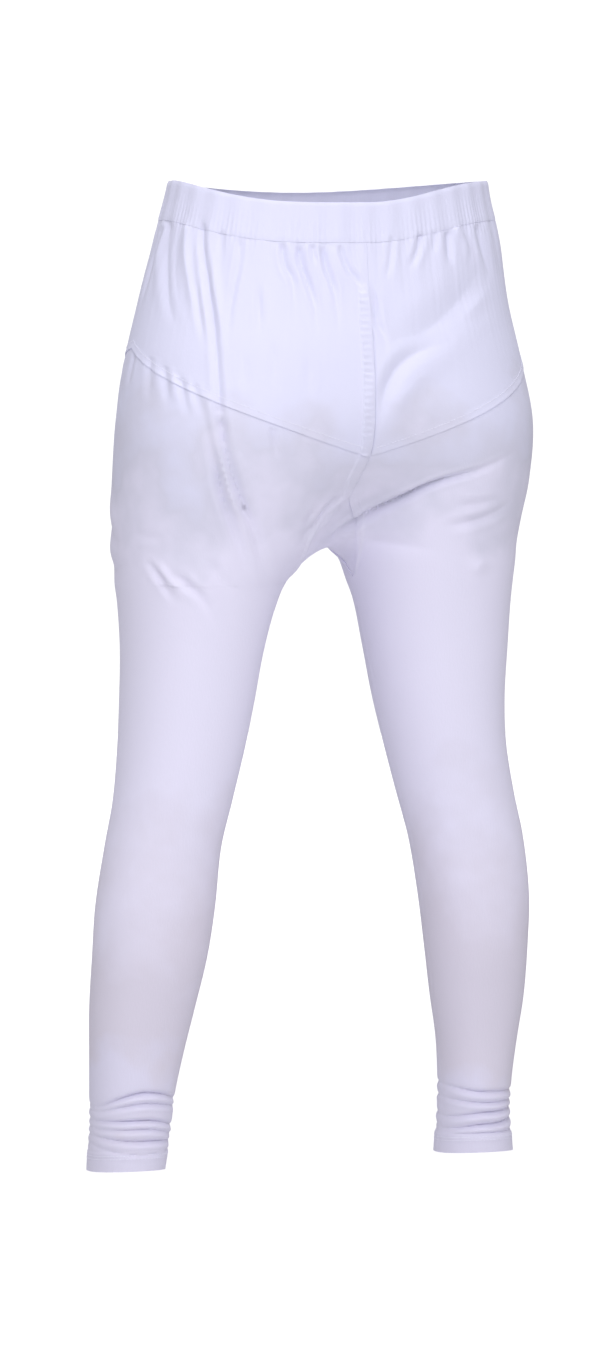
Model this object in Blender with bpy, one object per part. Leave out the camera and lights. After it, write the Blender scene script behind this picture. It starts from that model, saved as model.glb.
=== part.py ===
"""White churidar leggings, filled out as worn, with the legs apart.

The origin is at the centre of the waistband's upper edge. The front faces -Y, the left leg is at +X and
+Z is up. A section across the garment at any height is two rounded tubes, one for each leg, that melt
into one another above the crotch. The cloth follows those sections, and folds push it in and out.
"""

import math
from collections import namedtuple

import bmesh
import bpy
import numpy as np

MM = 0.001

# Cloth and making-up sizes
WALL = 1.2 * MM
BAND_WALL = 2.6 * MM
HEM_WALL = 2.2 * MM
BAND_PROUD = 0.9 * MM
HEM_PROUD = 0.5 * MM
SEAM_GAP = 0.3 * MM
SLOPED_SEAM_GAP = 0.36 * MM
GUSSET_INSET = 0.26 * MM
BAND_HEIGHT = 36 * MM
HEM_HEIGHT = 18 * MM
HEM_BOTTOM = -903 * MM
HEM_RISE_BACK = 7 * MM

# Waistband's upper edge: how far it dips from the side seams to the middle of the back and the front,
# and how much lower it sags behind on the left than on the right
WAIST_DIP_BACK = 20 * MM
WAIST_DIP_FRONT = 10 * MM
WAIST_LEAN = 6 * MM

# Lower edge of the yoke: height at the side, and how far its point hangs below that
YOKE_SIDE = -151 * MM
YOKE_POINT_BACK = 96 * MM
YOKE_POINT_FRONT = 46 * MM
YOKE_POINT_POWER = 1.1

# Middle seam behind: how far it is drawn to the left on its way down from the yoke to the gusset
SEAM_DRIFT = 9 * MM
DRIFT_START = -235 * MM
DRIFT_END = -290 * MM

# Gusset between the legs, seen from below, in mm, with the left at +x and the back at +y
Corner = namedtuple("Corner", "x y")
GUSSET_CORNERS = (
    Corner(9, 89.5),
    Corner(38, 75),
    Corner(50, 3),
    Corner(0, -73),
    Corner(-21, 3),
    Corner(-5, 60),
)
ABOVE_GUSSET = -286 * MM
BELOW_GUSSET = -480 * MM

# Gathers that the elastic throws into the yoke and the band
GATHERS_PER_SIDE = 18
GATHER_DEPTH = 1.5 * MM
GATHER_LENGTH = 75 * MM
GATHER_UNEVENNESS = 0.25
GATHER_LENGTH_WAVES = 3.5
GATHER_IN_BAND = 0.35

# Rounding of the sections, and of the arch between the legs
SQUARENESS = 2.15
ARCH_BLEND = 50 * MM
BLEND_START = -30 * MM
BLEND_RUN = 250 * MM

# Level where the rows below the yoke have become horizontal, and the levels of rows down the leg
LEVEL_START = -285 * MM
BELOW_CORNER = 1.0 * MM
HEM_STEP = 1.5 * MM
ANKLE_START = -817 * MM
ROWS_BELOW_YOKE = 7
ARCH_ROW = 4.5 * MM
ROWS_DOWN_LEG = 12
ROWS_AT_ANKLE = 16
ROWS_AT_HEM = 2
LEG_COLUMNS = 24
BACK_SHARE = 0.75
YOKE_COLUMNS = 72
YOKE_ROWS = 5
YOKE_ROW_CROWDING = 1.3
BAND_ROWS = 1
GUSSET_ROW = 4 * MM
GUSSET_COLUMNS = 10

# The two legs' outer and inner sides, and the depth in front of and behind the middle, in mm.
# Above the crotch an inner side lies across the middle, so both tubes share the hips.
Section = namedtuple("Section", "z left_outer left_inner right_outer right_inner front back")
SECTIONS = (
    Section(0, 148, -148, 148, -148, 106, 102),
    Section(-18, 152, -150, 151, -150, 108, 103),
    Section(-54, 162, -150, 160, -150, 111, 106),
    Section(-110, 178, -138, 167, -138, 114, 114),
    Section(-165, 192, -110, 178, -110, 114, 123),
    Section(-220, 201, -73, 187, -73, 110, 127),
    Section(-275, 204, -29, 184, -29, 103, 115),
    Section(-310, 205, -3, 178, -5, 98, 102),
    Section(-331, 204, 11, 175, 6, 95, 95),
    Section(-347, 202, 32, 174, 14, 91, 91),
    Section(-365, 200, 48, 172, 22, 87, 87),
    Section(-385, 198, 57, 170, 29, 82, 83),
    Section(-425, 196, 68, 168, 37, 75, 76),
    Section(-475, 197, 77, 166, 47, 70, 69),
    Section(-515, 199, 85, 168, 57, 66, 64),
    Section(-565, 204, 97, 177, 70, 60, 58),
    Section(-605, 212, 107, 186, 81, 57, 56),
    Section(-660, 222, 114, 191, 90, 54, 59),
    Section(-705, 226, 122, 189, 95, 49, 59),
    Section(-755, 229, 134, 186, 101, 44, 52),
    Section(-795, 229, 144, 180, 107, 41, 47),
    Section(-830, 229, 152, 175, 109, 40, 46),
    Section(-860, 229, 156, 173, 109, 41, 47),
    Section(-903, 231, 163, 176, 106, 42, 48),
)

# Folds are drawn on a flat board that stands square to a view turned BOARD_TURN from straight behind,
# with "across" to the right of that view and "up" level with the garment's own heights, in mm.
# A positive depth presses the cloth in. A lip lifts the cloth on the left of the path's direction and
# drops it on the right, as where cloth hangs over a crease.
BOARD_TURN = math.radians(18)
Fold = namedtuple("Fold", "across_1 up_1 across_2 up_2 across_3 up_3 width depth lip")
BACK_FOLDS = (
    Fold(9, -328, 78, -285, 180, -237, 13, 5.0, 3.5),
    Fold(20, -333, 48, -328, 106, -333, 13, 2.0, 0),
    Fold(-118, -50, -107, -130, -99, -205, 10, 2.2, 0),
    Fold(-103, -228, -88, -288, -66, -360, 11, 2.8, 0),
    Fold(-161, -342, -147, -363, -131, -383, 8, 3.0, 0),
    Fold(-148, -345, -125, -367, -98, -404, 9, 3.2, 0),
    Fold(7, -296, -2, -312, -13, -329, 8, 2.5, 0),
    Fold(55, -135, 94, -120, 125, -88, 13, 2.2, 0),
    Fold(43, -214, 56, -170, 90, -148, 13, 2.2, 0),
    Fold(-143, -38, -141, -90, -131, -146, 12, 1.8, 0),
)
FRONT_FOLDS = (
    Fold(-10, -352, -70, -300, -150, -262, 12, 3.5, 2.0),
    Fold(14, -352, 66, -306, 140, -270, 12, 3.5, -2.0),
    Fold(100, -70, 92, -150, 84, -230, 11, 2.0, 0),
    Fold(-96, -72, -88, -150, -70, -240, 11, 2.0, 0),
)

# Rings of cloth pushed up at the ankles: the height at the leg's outer, back and inner side and at the
# front, in mm, and the depth that each trough has at the back and at the front.
Ring = namedtuple("Ring", "outer back inner front width back_depth front_depth")
LEFT_RINGS = (
    Ring(-841, -825, -836, -834, 3.6, 2.2, 1.4),
    Ring(-845, -835, -842, -843, 3.4, 1.6, 2.0),
    Ring(-853, -850, -860, -853, 3.6, 2.2, 1.8),
    Ring(-860, -858, -868, -862, 3.2, 1.4, 2.2),
    Ring(-867, -869, -873, -872, 3.6, 2.0, 1.2),
)
RIGHT_RINGS = (
    Ring(-842, -840, -836, -838, 3.6, 1.8, 1.6),
    Ring(-850, -850, -848, -849, 3.2, 1.6, 1.8),
    Ring(-857, -859, -866, -860, 3.6, 2.0, 2.0),
    Ring(-866, -870, -877, -871, 3.6, 2.2, 1.4),
    Ring(-878, -878, -881, -880, 3.4, 1.0, 1.6),
)

# Grid on which the sections are worked out before the pieces read them
LEVEL_STEP = 2.5 * MM
RAYS = 360
RAY_STEP = 4 * MM
RAY_REACH = 260 * MM
ALONG = np.linspace(0.0, 1.0, 241)

WHITE = (0.86, 0.86, 0.90)
ROUGHNESS = 0.85


def smooth_step(low, high, value):
    """Rises from 0 at low to 1 at high with no corner."""
    t = np.clip((np.asarray(value, float) - low) / (high - low), 0.0, 1.0)
    return t * t * (3.0 - 2.0 * t)


def column_at(name, z):
    """One column of SECTIONS at the heights z, as a smooth curve through the rows."""
    knots = -np.array([row.z for row in SECTIONS], float) * MM
    values = np.array([getattr(row, name) for row in SECTIONS], float) * MM
    rises = np.diff(values) / np.diff(knots)
    slopes = np.concatenate([rises[:1], (rises[:-1] + rises[1:]) / 2.0, rises[-1:]])
    depth = np.clip(-np.asarray(z, float), knots[0], knots[-1])
    i = np.clip(np.searchsorted(knots, depth, side="right") - 1, 0, len(knots) - 2)
    span = knots[i + 1] - knots[i]
    t = (depth - knots[i]) / span
    start = (1 + 2 * t) * (1 - t) ** 2 * values[i] + t * (1 - t) ** 2 * span * slopes[i]
    end = t * t * (3 - 2 * t) * values[i + 1] + t * t * (t - 1) * span * slopes[i + 1]
    return start + end


def tube(side, z):
    """Centre x, centre y, half width and half depth of one leg's tube. side is 1 for left, -1 for right."""
    leg = "left" if side > 0 else "right"
    outer = column_at(leg + "_outer", z)
    inner = column_at(leg + "_inner", z)
    front = column_at("front", z)
    back = column_at("back", z)
    return side * (outer + inner) / 2, (back - front) / 2, (outer - inner) / 2, (back + front) / 2


def tube_distance(side, x, y, z):
    """Roughly how far a point is outside one leg's tube, negative inside."""
    cx, cy, a, b = tube(side, z)
    ratio = np.abs((x - cx) / a) ** SQUARENESS + np.abs((y - cy) / b) ** SQUARENESS
    return (ratio ** (1.0 / SQUARENESS) - 1.0) * np.minimum(a, b)


def distance(x, y, z):
    """Roughly how far a point is outside the garment: the two tubes, melted together near the middle."""
    left = tube_distance(1, x, y, z)
    right = tube_distance(-1, x, y, z)
    blend = ARCH_BLEND * smooth_step(0.0, BLEND_RUN, BLEND_START - np.asarray(z, float)) + 1e-6
    overlap = np.clip(blend - np.abs(left - right), 0.0, None) / blend
    return np.minimum(left, right) - overlap * overlap * blend / 4.0


def outward(points):
    """Unit normals of the garment's smooth form at points on it."""
    step = 0.5 * MM
    x, y, z = points[..., 0], points[..., 1], points[..., 2]
    slope = np.stack(
        [
            distance(x + step, y, z) - distance(x - step, y, z),
            distance(x, y + step, z) - distance(x, y - step, z),
            distance(x, y, z + step) - distance(x, y, z - step),
        ],
        axis=-1,
    )
    return slope / np.linalg.norm(slope, axis=-1, keepdims=True)


def gusset_edges():
    """The gusset's corners seen from below, and the unit vector out of the edge that follows each one."""
    corners = np.array(GUSSET_CORNERS, float) * MM
    runs = np.roll(corners, -1, axis=0) - corners
    out = np.stack([-runs[:, 1], runs[:, 0]], axis=-1)
    return corners, out / np.linalg.norm(out, axis=1, keepdims=True)


def outside_gusset(x, y):
    """How far a point is outside the gusset seen from below, negative inside."""
    corners, out = gusset_edges()
    away = [(x - c[0]) * n[0] + (y - c[1]) * n[1] for c, n in zip(corners, out)]
    return np.max(away, axis=0)


def underside(x, y):
    """Height of the form's underside between the legs."""
    low = np.full(np.shape(x), BELOW_GUSSET)
    high = np.full(np.shape(x), ABOVE_GUSSET)
    for _ in range(40):
        middle = (low + high) / 2
        outside = distance(x, y, middle) > 0
        low = np.where(outside, middle, low)
        high = np.where(outside, high, middle)
    return (low + high) / 2


def middle_seam(y, z):
    """Where the middle seam lies to the left of the middle."""
    drift = SEAM_DRIFT * smooth_step(-DRIFT_START, -DRIFT_END, -np.asarray(z, float))
    return np.where(y > 0, drift, 0.0)


def section(side, z):
    """Points of one half of the section at height z, from the front edge round the outer side to the back.

    Above the gusset the edges lie on the middle seam, beside it on the gusset's edge, and below it the
    section is a closed loop that starts and ends at the inseam.
    """
    cx, cy, _, _ = tube(side, z)
    turn = np.linspace(0.0, 2.0 * math.pi, RAYS + 1)
    away = np.stack([-side * np.cos(turn), -np.sin(turn)], axis=-1)
    reach = np.arange(RAY_STEP, RAY_REACH, RAY_STEP)
    grid = distance(cx + away[:, :1] * reach, cy + away[:, 1:] * reach, z)
    first = np.argmax(grid > 0, axis=1)
    leaves = (grid > 0).any(axis=1)
    low = np.where(leaves, reach[first] - RAY_STEP, RAY_REACH)
    high = np.where(leaves, reach[first], RAY_REACH)
    for _ in range(24):
        middle = (low + high) / 2
        outside = distance(cx + away[:, 0] * middle, cy + away[:, 1] * middle, z) > 0
        low = np.where(outside, low, middle)
        high = np.where(outside, middle, high)
    x = cx + away[:, 0] * low
    y = cy + away[:, 1] * low
    room = np.minimum(side * (x - middle_seam(y, z)), outside_gusset(x, y)) - SEAM_GAP / 2
    kept = np.flatnonzero(room > 0)
    start, end = kept[0], kept[-1]
    found = np.stack([x, y], axis=-1)
    line = found[start : end + 1]
    if start > 0:
        t = room[start] / (room[start] - room[start - 1])
        line = np.concatenate([[found[start] + t * (found[start - 1] - found[start])], line])
    if end < RAYS:
        t = room[end] / (room[end] - room[end + 1])
        line = np.concatenate([line, [found[end] + t * (found[end + 1] - found[end])]])
    lengths = np.concatenate([[0.0], np.cumsum(np.linalg.norm(np.diff(line, axis=0), axis=1))])
    along = ALONG * lengths[-1]
    return np.stack([np.interp(along, lengths, line[:, k]) for k in (0, 1)], axis=-1)


class Half:
    """The left or the right half of the garment's smooth form, read by share round and height."""

    def __init__(self, side):
        self.side = side
        count = int(round((0.0 - HEM_BOTTOM) / LEVEL_STEP))
        self.levels = np.linspace(0.0, HEM_BOTTOM, count + 1)
        self.grid = np.stack([section(side, z) for z in self.levels])

    def at(self, share, z):
        """Points on the form at each share round (0 at the front edge, 1 at the back) and height z."""
        share, z = np.broadcast_arrays(np.asarray(share, float), np.asarray(z, float))
        row = np.clip(z / HEM_BOTTOM, 0.0, 1.0) * (len(self.levels) - 1)
        column = np.clip(share, 0.0, 1.0) * (len(ALONG) - 1)
        i = np.clip(row.astype(int), 0, len(self.levels) - 2)
        j = np.clip(column.astype(int), 0, len(ALONG) - 2)
        s, t = (row - i)[..., None], (column - j)[..., None]
        upper = self.grid[i, j] * (1 - t) + self.grid[i, j + 1] * t
        lower = self.grid[i + 1, j] * (1 - t) + self.grid[i + 1, j + 1] * t
        flat = upper * (1 - s) + lower * s
        return np.concatenate([flat, z[..., None]], axis=-1)


def toward_back(share):
    """Splits a share round into how far it is from the side seam, 0 to 1, and whether it is behind."""
    share = np.asarray(share, float)
    return np.abs(2.0 * share - 1.0), share > 0.5


def waist_height(side, share):
    """Height of the waistband's upper edge."""
    turn, behind = toward_back(share)
    dip = np.where(behind, WAIST_DIP_BACK, WAIST_DIP_FRONT)
    lean = np.where(behind, side * WAIST_LEAN, 0.0)
    return -dip * smooth_step(0.0, 1.0, turn) - lean * np.sin(math.pi * turn) ** 2


def band_foot(side, share):
    """Height of the seam between waistband and yoke."""
    return waist_height(side, share) - BAND_HEIGHT


def yoke_foot(share):
    """Height of the seam between yoke and leg, straight between the leg's own columns."""
    knots = np.linspace(0.0, 1.0, LEG_COLUMNS + 1)
    turn, behind = toward_back(knots)
    point = np.where(behind, YOKE_POINT_BACK, YOKE_POINT_FRONT)
    seam = YOKE_SIDE - point * (1.0 - (1.0 - turn) ** YOKE_POINT_POWER)
    return np.interp(share, knots, seam)


def fold_press(folds, across, up, facing):
    """How far the folds drawn on one board press the cloth in."""
    press = np.zeros(np.shape(across))
    for fold in folds:
        t = np.linspace(0.0, 1.0, 13)[:, None]
        ends = np.array([[fold.across_1, fold.up_1], [fold.across_3, fold.up_3]], float)
        middle = 2.0 * np.array([fold.across_2, fold.up_2]) - ends.mean(axis=0)
        path = ((1 - t) ** 2 * ends[0] + 2 * t * (1 - t) * middle + t * t * ends[1]) * MM
        nearest = np.full(np.shape(across), 1.0)
        travel = np.zeros(np.shape(across))
        lift = np.zeros(np.shape(across))
        for k in range(len(path) - 1):
            run = path[k + 1] - path[k]
            length = math.hypot(*run)
            dx, dy = across - path[k][0], up - path[k][1]
            s = np.clip((dx * run[0] + dy * run[1]) / length**2, 0.0, 1.0)
            gap = np.hypot(dx - s * run[0], dy - s * run[1])
            left = (run[0] * dy - run[1] * dx) / length
            closer = gap < nearest
            nearest = np.where(closer, gap, nearest)
            travel = np.where(closer, (k + s) / (len(path) - 1), travel)
            lift = np.where(closer, np.sign(left), lift)
        width = fold.width * MM
        fade = np.sin(math.pi * np.clip(travel, 0.02, 0.98)) ** 0.7
        trough = np.exp(-((nearest / width) ** 2))
        roll = lift * nearest / width * np.exp(0.5 - (nearest / width) ** 2)
        press += fade * facing * (fold.depth * trough - fold.lip * roll) * MM
    return press


def ring_press(side, points):
    """How far the rings at one ankle press the cloth in."""
    rings = LEFT_RINGS if side > 0 else RIGHT_RINGS
    cx, cy, a, b = tube(side, points[..., 2])
    out = side * (points[..., 0] - cx) / a
    behind = (points[..., 1] - cy) / b
    outer, inner = np.clip(out, 0, 1) ** 2, np.clip(-out, 0, 1) ** 2
    back, front = np.clip(behind, 0, 1) ** 2, np.clip(-behind, 0, 1) ** 2
    total = outer + inner + back + front
    press = np.zeros(points.shape[:-1])
    for ring in rings:
        height = ring.outer * outer + ring.inner * inner + ring.back * back + ring.front * front
        gap = points[..., 2] - height / total * MM
        share = (behind + 1) / 2
        depth = ring.front_depth + (ring.back_depth - ring.front_depth) * np.clip(share, 0, 1)
        press += depth * MM * np.exp(-((gap / (ring.width * MM)) ** 2))
    return press


def gather_lift(share, below):
    """Height of the gathers, fading with the distance below the band's seam."""
    turn = 2.0 * math.pi * share
    wave = np.cos(GATHERS_PER_SIDE * turn)
    reach = GATHER_LENGTH * (1.0 - GATHER_UNEVENNESS * (1.0 - np.cos(GATHER_LENGTH_WAVES * turn)))
    inside_band = np.where(below < 0, GATHER_IN_BAND, 1.0)
    return GATHER_DEPTH * wave * inside_band * (1.0 - smooth_step(0.0, 1.0, below / reach))


def fold_lift(side, points, normals):
    """How far all drawn folds move the cloth out, for one half."""
    c, s = math.cos(BOARD_TURN), math.sin(BOARD_TURN)
    x, y, z = points[..., 0], points[..., 1], points[..., 2]
    back_facing = smooth_step(-0.05, 0.35, normals[..., 0] * s + normals[..., 1] * c)
    front_facing = smooth_step(-0.05, 0.35, -normals[..., 1])
    lift = -fold_press(BACK_FOLDS, -x * c + y * s, z, back_facing)
    lift -= fold_press(FRONT_FOLDS, x, z, front_facing)
    return lift - ring_press(side, points)


def cloth(side, points, wall, proud=0.0, extra=0.0):
    """Outer and inner points of a wall whose base lies at points."""
    normals = outward(points)
    lift = (fold_lift(side, points, normals) + proud + extra)[..., None]
    thickness = np.broadcast_to(np.asarray(wall, float), points.shape[:-1])[..., None]
    return points + normals * lift, points + normals * (lift - thickness)


def add_object(name, verts, faces):
    """Makes a mesh object from points and faces, with its own material, in the garment's collection."""
    mesh = bpy.data.meshes.new(name)
    mesh.from_pydata([tuple(v) for v in verts], [], [tuple(int(i) for i in f) for f in faces])
    net = bmesh.new()
    net.from_mesh(mesh)
    bmesh.ops.remove_doubles(net, verts=net.verts, dist=0.02 * MM)
    bmesh.ops.recalc_face_normals(net, faces=net.faces)
    net.to_mesh(mesh)
    net.free()
    mesh.shade_smooth()
    mesh.set_sharp_from_angle(angle=math.radians(50))
    mesh.materials.append(cotton(name))
    obj = bpy.data.objects.new(name, mesh)
    bpy.data.collections["leggings"].objects.link(obj)
    return obj


def cotton(name):
    """White stretch cotton, one material for each piece."""
    material = bpy.data.materials.new(name + "_cotton")
    material.use_nodes = True
    shader = material.node_tree.nodes["Principled BSDF"]
    shader.inputs["Base Color"].default_value = (*WHITE, 1.0)
    shader.inputs["Roughness"].default_value = ROUGHNESS
    shader.inputs["Metallic"].default_value = 0.0
    return material


def wall_faces(rows, columns, ring=False, closed_from=None):
    """Faces of a wall whose outer points come first and inner points after, row by row.

    ring joins the last column to the first. closed_from is the first row whose two ends are one point,
    so from there down the wall has no side edges.
    """
    half = rows * columns
    faces = []
    for i in range(rows - 1):
        for j in range(columns if ring else columns - 1):
            a, b = i * columns + j, i * columns + (j + 1) % columns
            c, d = a + columns, b + columns
            faces += [(a, b, d, c), (half + a, half + c, half + d, half + b)]
    for j in range(columns if ring else columns - 1):
        a, b = j, (j + 1) % columns
        c, d = a + (rows - 1) * columns, b + (rows - 1) * columns
        faces += [(a, half + a, half + b, b), (c, d, half + d, half + c)]
    if not ring:
        open_rows = rows - 1 if closed_from is None else closed_from
        for i in range(open_rows):
            for j in (0, columns - 1):
                a, c = i * columns + j, (i + 1) * columns + j
                faces.append((a, c, half + c, half + a))
    return faces


def make_waistband(halves):
    """One elasticated casing all round, thicker than the cloth below it."""
    share = np.linspace(0.0, 1.0, YOKE_COLUMNS + 1)
    outer, inner = [], []
    for row in range(BAND_ROWS + 1):
        down = row / BAND_ROWS
        sides = []
        for side, half in halves.items():
            foot = band_foot(side, share)
            z = waist_height(side, share) * (1 - down) + (foot + SEAM_GAP / 2) * down
            points = half.at(share, z)
            waves = gather_lift(share, foot - z)
            sides.append(cloth(side, points, BAND_WALL, BAND_PROUD, waves))
        for target, left, right in zip((outer, inner), *sides):
            middle_front = (left[:1] + right[:1]) / 2
            middle_back = (left[-1:] + right[-1:]) / 2
            target.append(np.concatenate([middle_front, left[1:-1], middle_back, right[-2:0:-1]]))
    columns = 2 * YOKE_COLUMNS
    verts = np.concatenate(outer + inner)
    add_object("waistband", verts, wall_faces(BAND_ROWS + 1, columns, ring=True))


def make_yoke(side, half):
    """One half of the seat yoke, gathered into the band and pointed at the middle of the back."""
    share = np.linspace(0.0, 1.0, YOKE_COLUMNS + 1)
    outer, inner = [], []
    for row in range(YOKE_ROWS + 1):
        down = (row / YOKE_ROWS) ** YOKE_ROW_CROWDING
        top = band_foot(side, share) - SEAM_GAP / 2
        z = top * (1 - down) + (yoke_foot(share) + SLOPED_SEAM_GAP / 2) * down
        points = half.at(share, z)
        waves = gather_lift(share, band_foot(side, share) - z)
        out, into = cloth(side, points, WALL, 0.0, waves)
        outer.append(out)
        inner.append(into)
    name = "yoke_left" if side > 0 else "yoke_right"
    add_object(name, np.concatenate(outer + inner), wall_faces(YOKE_ROWS + 1, YOKE_COLUMNS + 1))


def leg_levels(side):
    """Heights of the level rows down one leg, with a row at each of the gusset's corners on that side."""
    corners = [c for c in GUSSET_CORNERS if side * c.x >= 0 or c == GUSSET_CORNERS[0]]
    marks = sorted((float(underside(c.x * MM, c.y * MM)) for c in corners), reverse=True)
    marks = [LEVEL_START] + marks[:-1] + [marks[-1] - BELOW_CORNER]
    arch = [LEVEL_START]
    for high, low in zip(marks[:-1], marks[1:]):
        rows = math.ceil((high - low) / ARCH_ROW)
        arch += list(np.linspace(high, low, rows + 1)[1:])
    hem_top = HEM_BOTTOM + HEM_HEIGHT
    down = np.linspace(marks[-1], ANKLE_START, ROWS_DOWN_LEG + 1)[1:]
    ankle = np.linspace(ANKLE_START, hem_top, ROWS_AT_ANKLE + 1)[1:]
    hem = np.linspace(hem_top - HEM_STEP, HEM_BOTTOM, ROWS_AT_HEM)
    return np.concatenate([arch, down, ankle, hem]), len(arch) - 1


def hem_rise(share, z):
    """How far the rows near the hem ride up behind the leg."""
    behind = (0.5 + 0.5 * np.cos(2.0 * math.pi * (share - BACK_SHARE))) ** 2
    return HEM_RISE_BACK * behind * smooth_step(-ANKLE_START, -HEM_BOTTOM - HEM_HEIGHT, -z)


def make_leg(side, half):
    """One leg panel, wrapped round and joined to itself at the inseam below the gusset."""
    share = np.linspace(0.0, 1.0, LEG_COLUMNS + 1)
    levels, corner_row = leg_levels(side)
    rows = []
    for row in range(ROWS_BELOW_YOKE):
        down = row / ROWS_BELOW_YOKE
        rows.append((yoke_foot(share) - SLOPED_SEAM_GAP / 2) * (1 - down) + LEVEL_START * down)
    rows += [np.full(LEG_COLUMNS + 1, z) for z in levels]
    outer, inner = [], []
    for z in rows:
        points = half.at(share, z + hem_rise(share, z))
        in_hem = z < HEM_BOTTOM + HEM_HEIGHT - HEM_STEP / 2
        wall = np.where(in_hem, HEM_WALL, WALL)
        proud = np.where(in_hem, HEM_PROUD, 0.0)
        out, into = cloth(side, points, wall, proud)
        outer.append(out)
        inner.append(into)
    first_closed = ROWS_BELOW_YOKE + corner_row
    for target in (outer, inner):
        for row in range(first_closed, len(rows)):
            target[row][-1] = target[row][0]
    name = "leg_left" if side > 0 else "leg_right"
    faces = wall_faces(len(rows), LEG_COLUMNS + 1, closed_from=first_closed)
    add_object(name, np.concatenate(outer + inner), faces)


def gusset_rows():
    """Both ends of each row across the gusset, from its back corner to its front corner.

    The ends lie a little inside the line of the seam, and every corner is the end of a row.
    """
    corners, out = gusset_edges()
    before = np.roll(out, 1, axis=0)
    spread = 1.0 + (out * before).sum(axis=1, keepdims=True)
    corners = corners - GUSSET_INSET * (out + before) / spread
    back, left_back, left, front, right, right_back = corners
    left_line = np.array([back, left_back, left, front])
    right_line = np.array([back, right_back, right, front])
    walks = []
    for line in (left_line, right_line):
        walk = np.concatenate([[0.0], np.cumsum(np.linalg.norm(np.diff(line, axis=0), axis=1))])
        walks.append(walk / walk[-1])
    rows_per_walk = np.linalg.norm(back - front) / GUSSET_ROW
    stops = np.unique(np.concatenate(walks))
    marks = [stops[:1]]
    for low, high in zip(stops[:-1], stops[1:]):
        marks.append(np.linspace(low, high, math.ceil((high - low) * rows_per_walk) + 1)[1:])
    marks = np.concatenate(marks)
    ends = []
    for walk, line in zip(walks, (left_line, right_line)):
        ends.append(np.stack([np.interp(marks, walk, line[:, k]) for k in (0, 1)], axis=-1))
    return ends


def make_gusset():
    """The piece between the legs."""
    left_ends, right_ends = gusset_rows()
    across = np.linspace(0.0, 1.0, GUSSET_COLUMNS + 1)[:, None]
    outer, inner = [], []
    for left_end, right_end in zip(left_ends, right_ends):
        plan = left_end * (1 - across) + right_end * across
        points = np.concatenate([plan, underside(plan[:, 0], plan[:, 1])[:, None]], axis=-1)
        normals = outward(points)
        left_folds, right_folds = fold_lift(1, points, normals), fold_lift(-1, points, normals)
        folds = np.where(plan[:, 0] > 0, left_folds, right_folds)
        outer.append(points + normals * folds[..., None])
        inner.append(points + normals * (folds - WALL)[..., None])
    faces = wall_faces(len(left_ends), GUSSET_COLUMNS + 1)
    add_object("gusset", np.concatenate(outer + inner), faces)


def main():
    for obj in list(bpy.data.objects):
        bpy.data.objects.remove(obj, do_unlink=True)
    garment = bpy.data.collections.new("leggings")
    bpy.context.scene.collection.children.link(garment)
    halves = {side: Half(side) for side in (1, -1)}
    make_waistband(halves)
    for side, half in halves.items():
        make_yoke(side, half)
        make_leg(side, half)
    make_gusset()


main()
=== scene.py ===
"""White churidar leggings, filled out as worn: cloth, seams and gathers on the garment's solid form.

The origin is at the centre of the waistband's upper edge, the front faces -Y, the left leg is at +X and
+Z is up. Every piece follows one smooth form, two rounded tubes that melt together above the crotch,
and folds, gathers, seams and rings at the ankles push its cloth in and out.
"""

import functools
import math
from collections import namedtuple

import bmesh
import bpy
import numpy as np
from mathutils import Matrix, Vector


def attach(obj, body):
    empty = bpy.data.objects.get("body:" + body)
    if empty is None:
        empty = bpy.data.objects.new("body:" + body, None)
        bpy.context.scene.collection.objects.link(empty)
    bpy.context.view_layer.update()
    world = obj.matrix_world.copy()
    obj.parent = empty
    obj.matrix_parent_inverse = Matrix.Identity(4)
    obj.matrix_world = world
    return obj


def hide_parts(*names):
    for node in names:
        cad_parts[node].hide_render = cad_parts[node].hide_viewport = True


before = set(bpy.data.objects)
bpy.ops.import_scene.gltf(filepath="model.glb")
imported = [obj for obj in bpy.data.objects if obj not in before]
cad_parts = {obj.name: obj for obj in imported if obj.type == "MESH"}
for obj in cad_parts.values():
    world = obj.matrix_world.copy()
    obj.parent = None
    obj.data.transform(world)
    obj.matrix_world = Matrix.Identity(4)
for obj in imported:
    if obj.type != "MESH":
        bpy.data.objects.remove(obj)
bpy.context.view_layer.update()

bl_info = {
    "name": "Churidar Leggings",
    "version": (1, 0, 0),
    "blender": (4, 5, 0),
    "location": "View3D > Sidebar > Leggings",
    "description": "Builds white gathered leggings on their solid form and sets soft light round them",
    "category": "Object",
}

MM = 0.001

# Making-up sizes
BAND_HEIGHT = 36 * MM
BAND_PROUD = 0.5 * MM
HEM_HEIGHT = 18 * MM
HEM_PROUD = 0.5 * MM
HEM_BOTTOM = -903 * MM
HEM_RISE_BACK = 7 * MM
HEM_STEP = 1.5 * MM
HEM_EDGE = (0.2 * MM, 0.6 * MM)
SEAM_GAP = 0.12 * MM
WAIST_DIP_BACK = 20 * MM
WAIST_DIP_FRONT = 10 * MM
WAIST_LEAN = 6 * MM
WAIST_ROLL = 0.8 * MM
WAIST_ROLL_WIDTH = 1.5 * MM
YOKE_SIDE = -151 * MM
YOKE_POINT_BACK = 96 * MM
YOKE_POINT_FRONT = 46 * MM
YOKE_POINT_POWER = 1.1

# Middle seam behind: how far it is drawn to the left on its way down from the yoke to the gusset
SEAM_DRIFT = 9 * MM
DRIFT_START = -235 * MM
DRIFT_END = -290 * MM

# Gusset between the legs, seen from below, in mm, with the left at +x and the back at +y
Corner = namedtuple("Corner", "x y")
GUSSET_CORNERS = (
    Corner(9, 89.5),
    Corner(38, 75),
    Corner(50, 3),
    Corner(0, -73),
    Corner(-21, 3),
    Corner(-5, 60),
)
GUSSET_INSET = 0.1 * MM
ABOVE_GUSSET = -286 * MM
BELOW_GUSSET = -480 * MM

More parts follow.
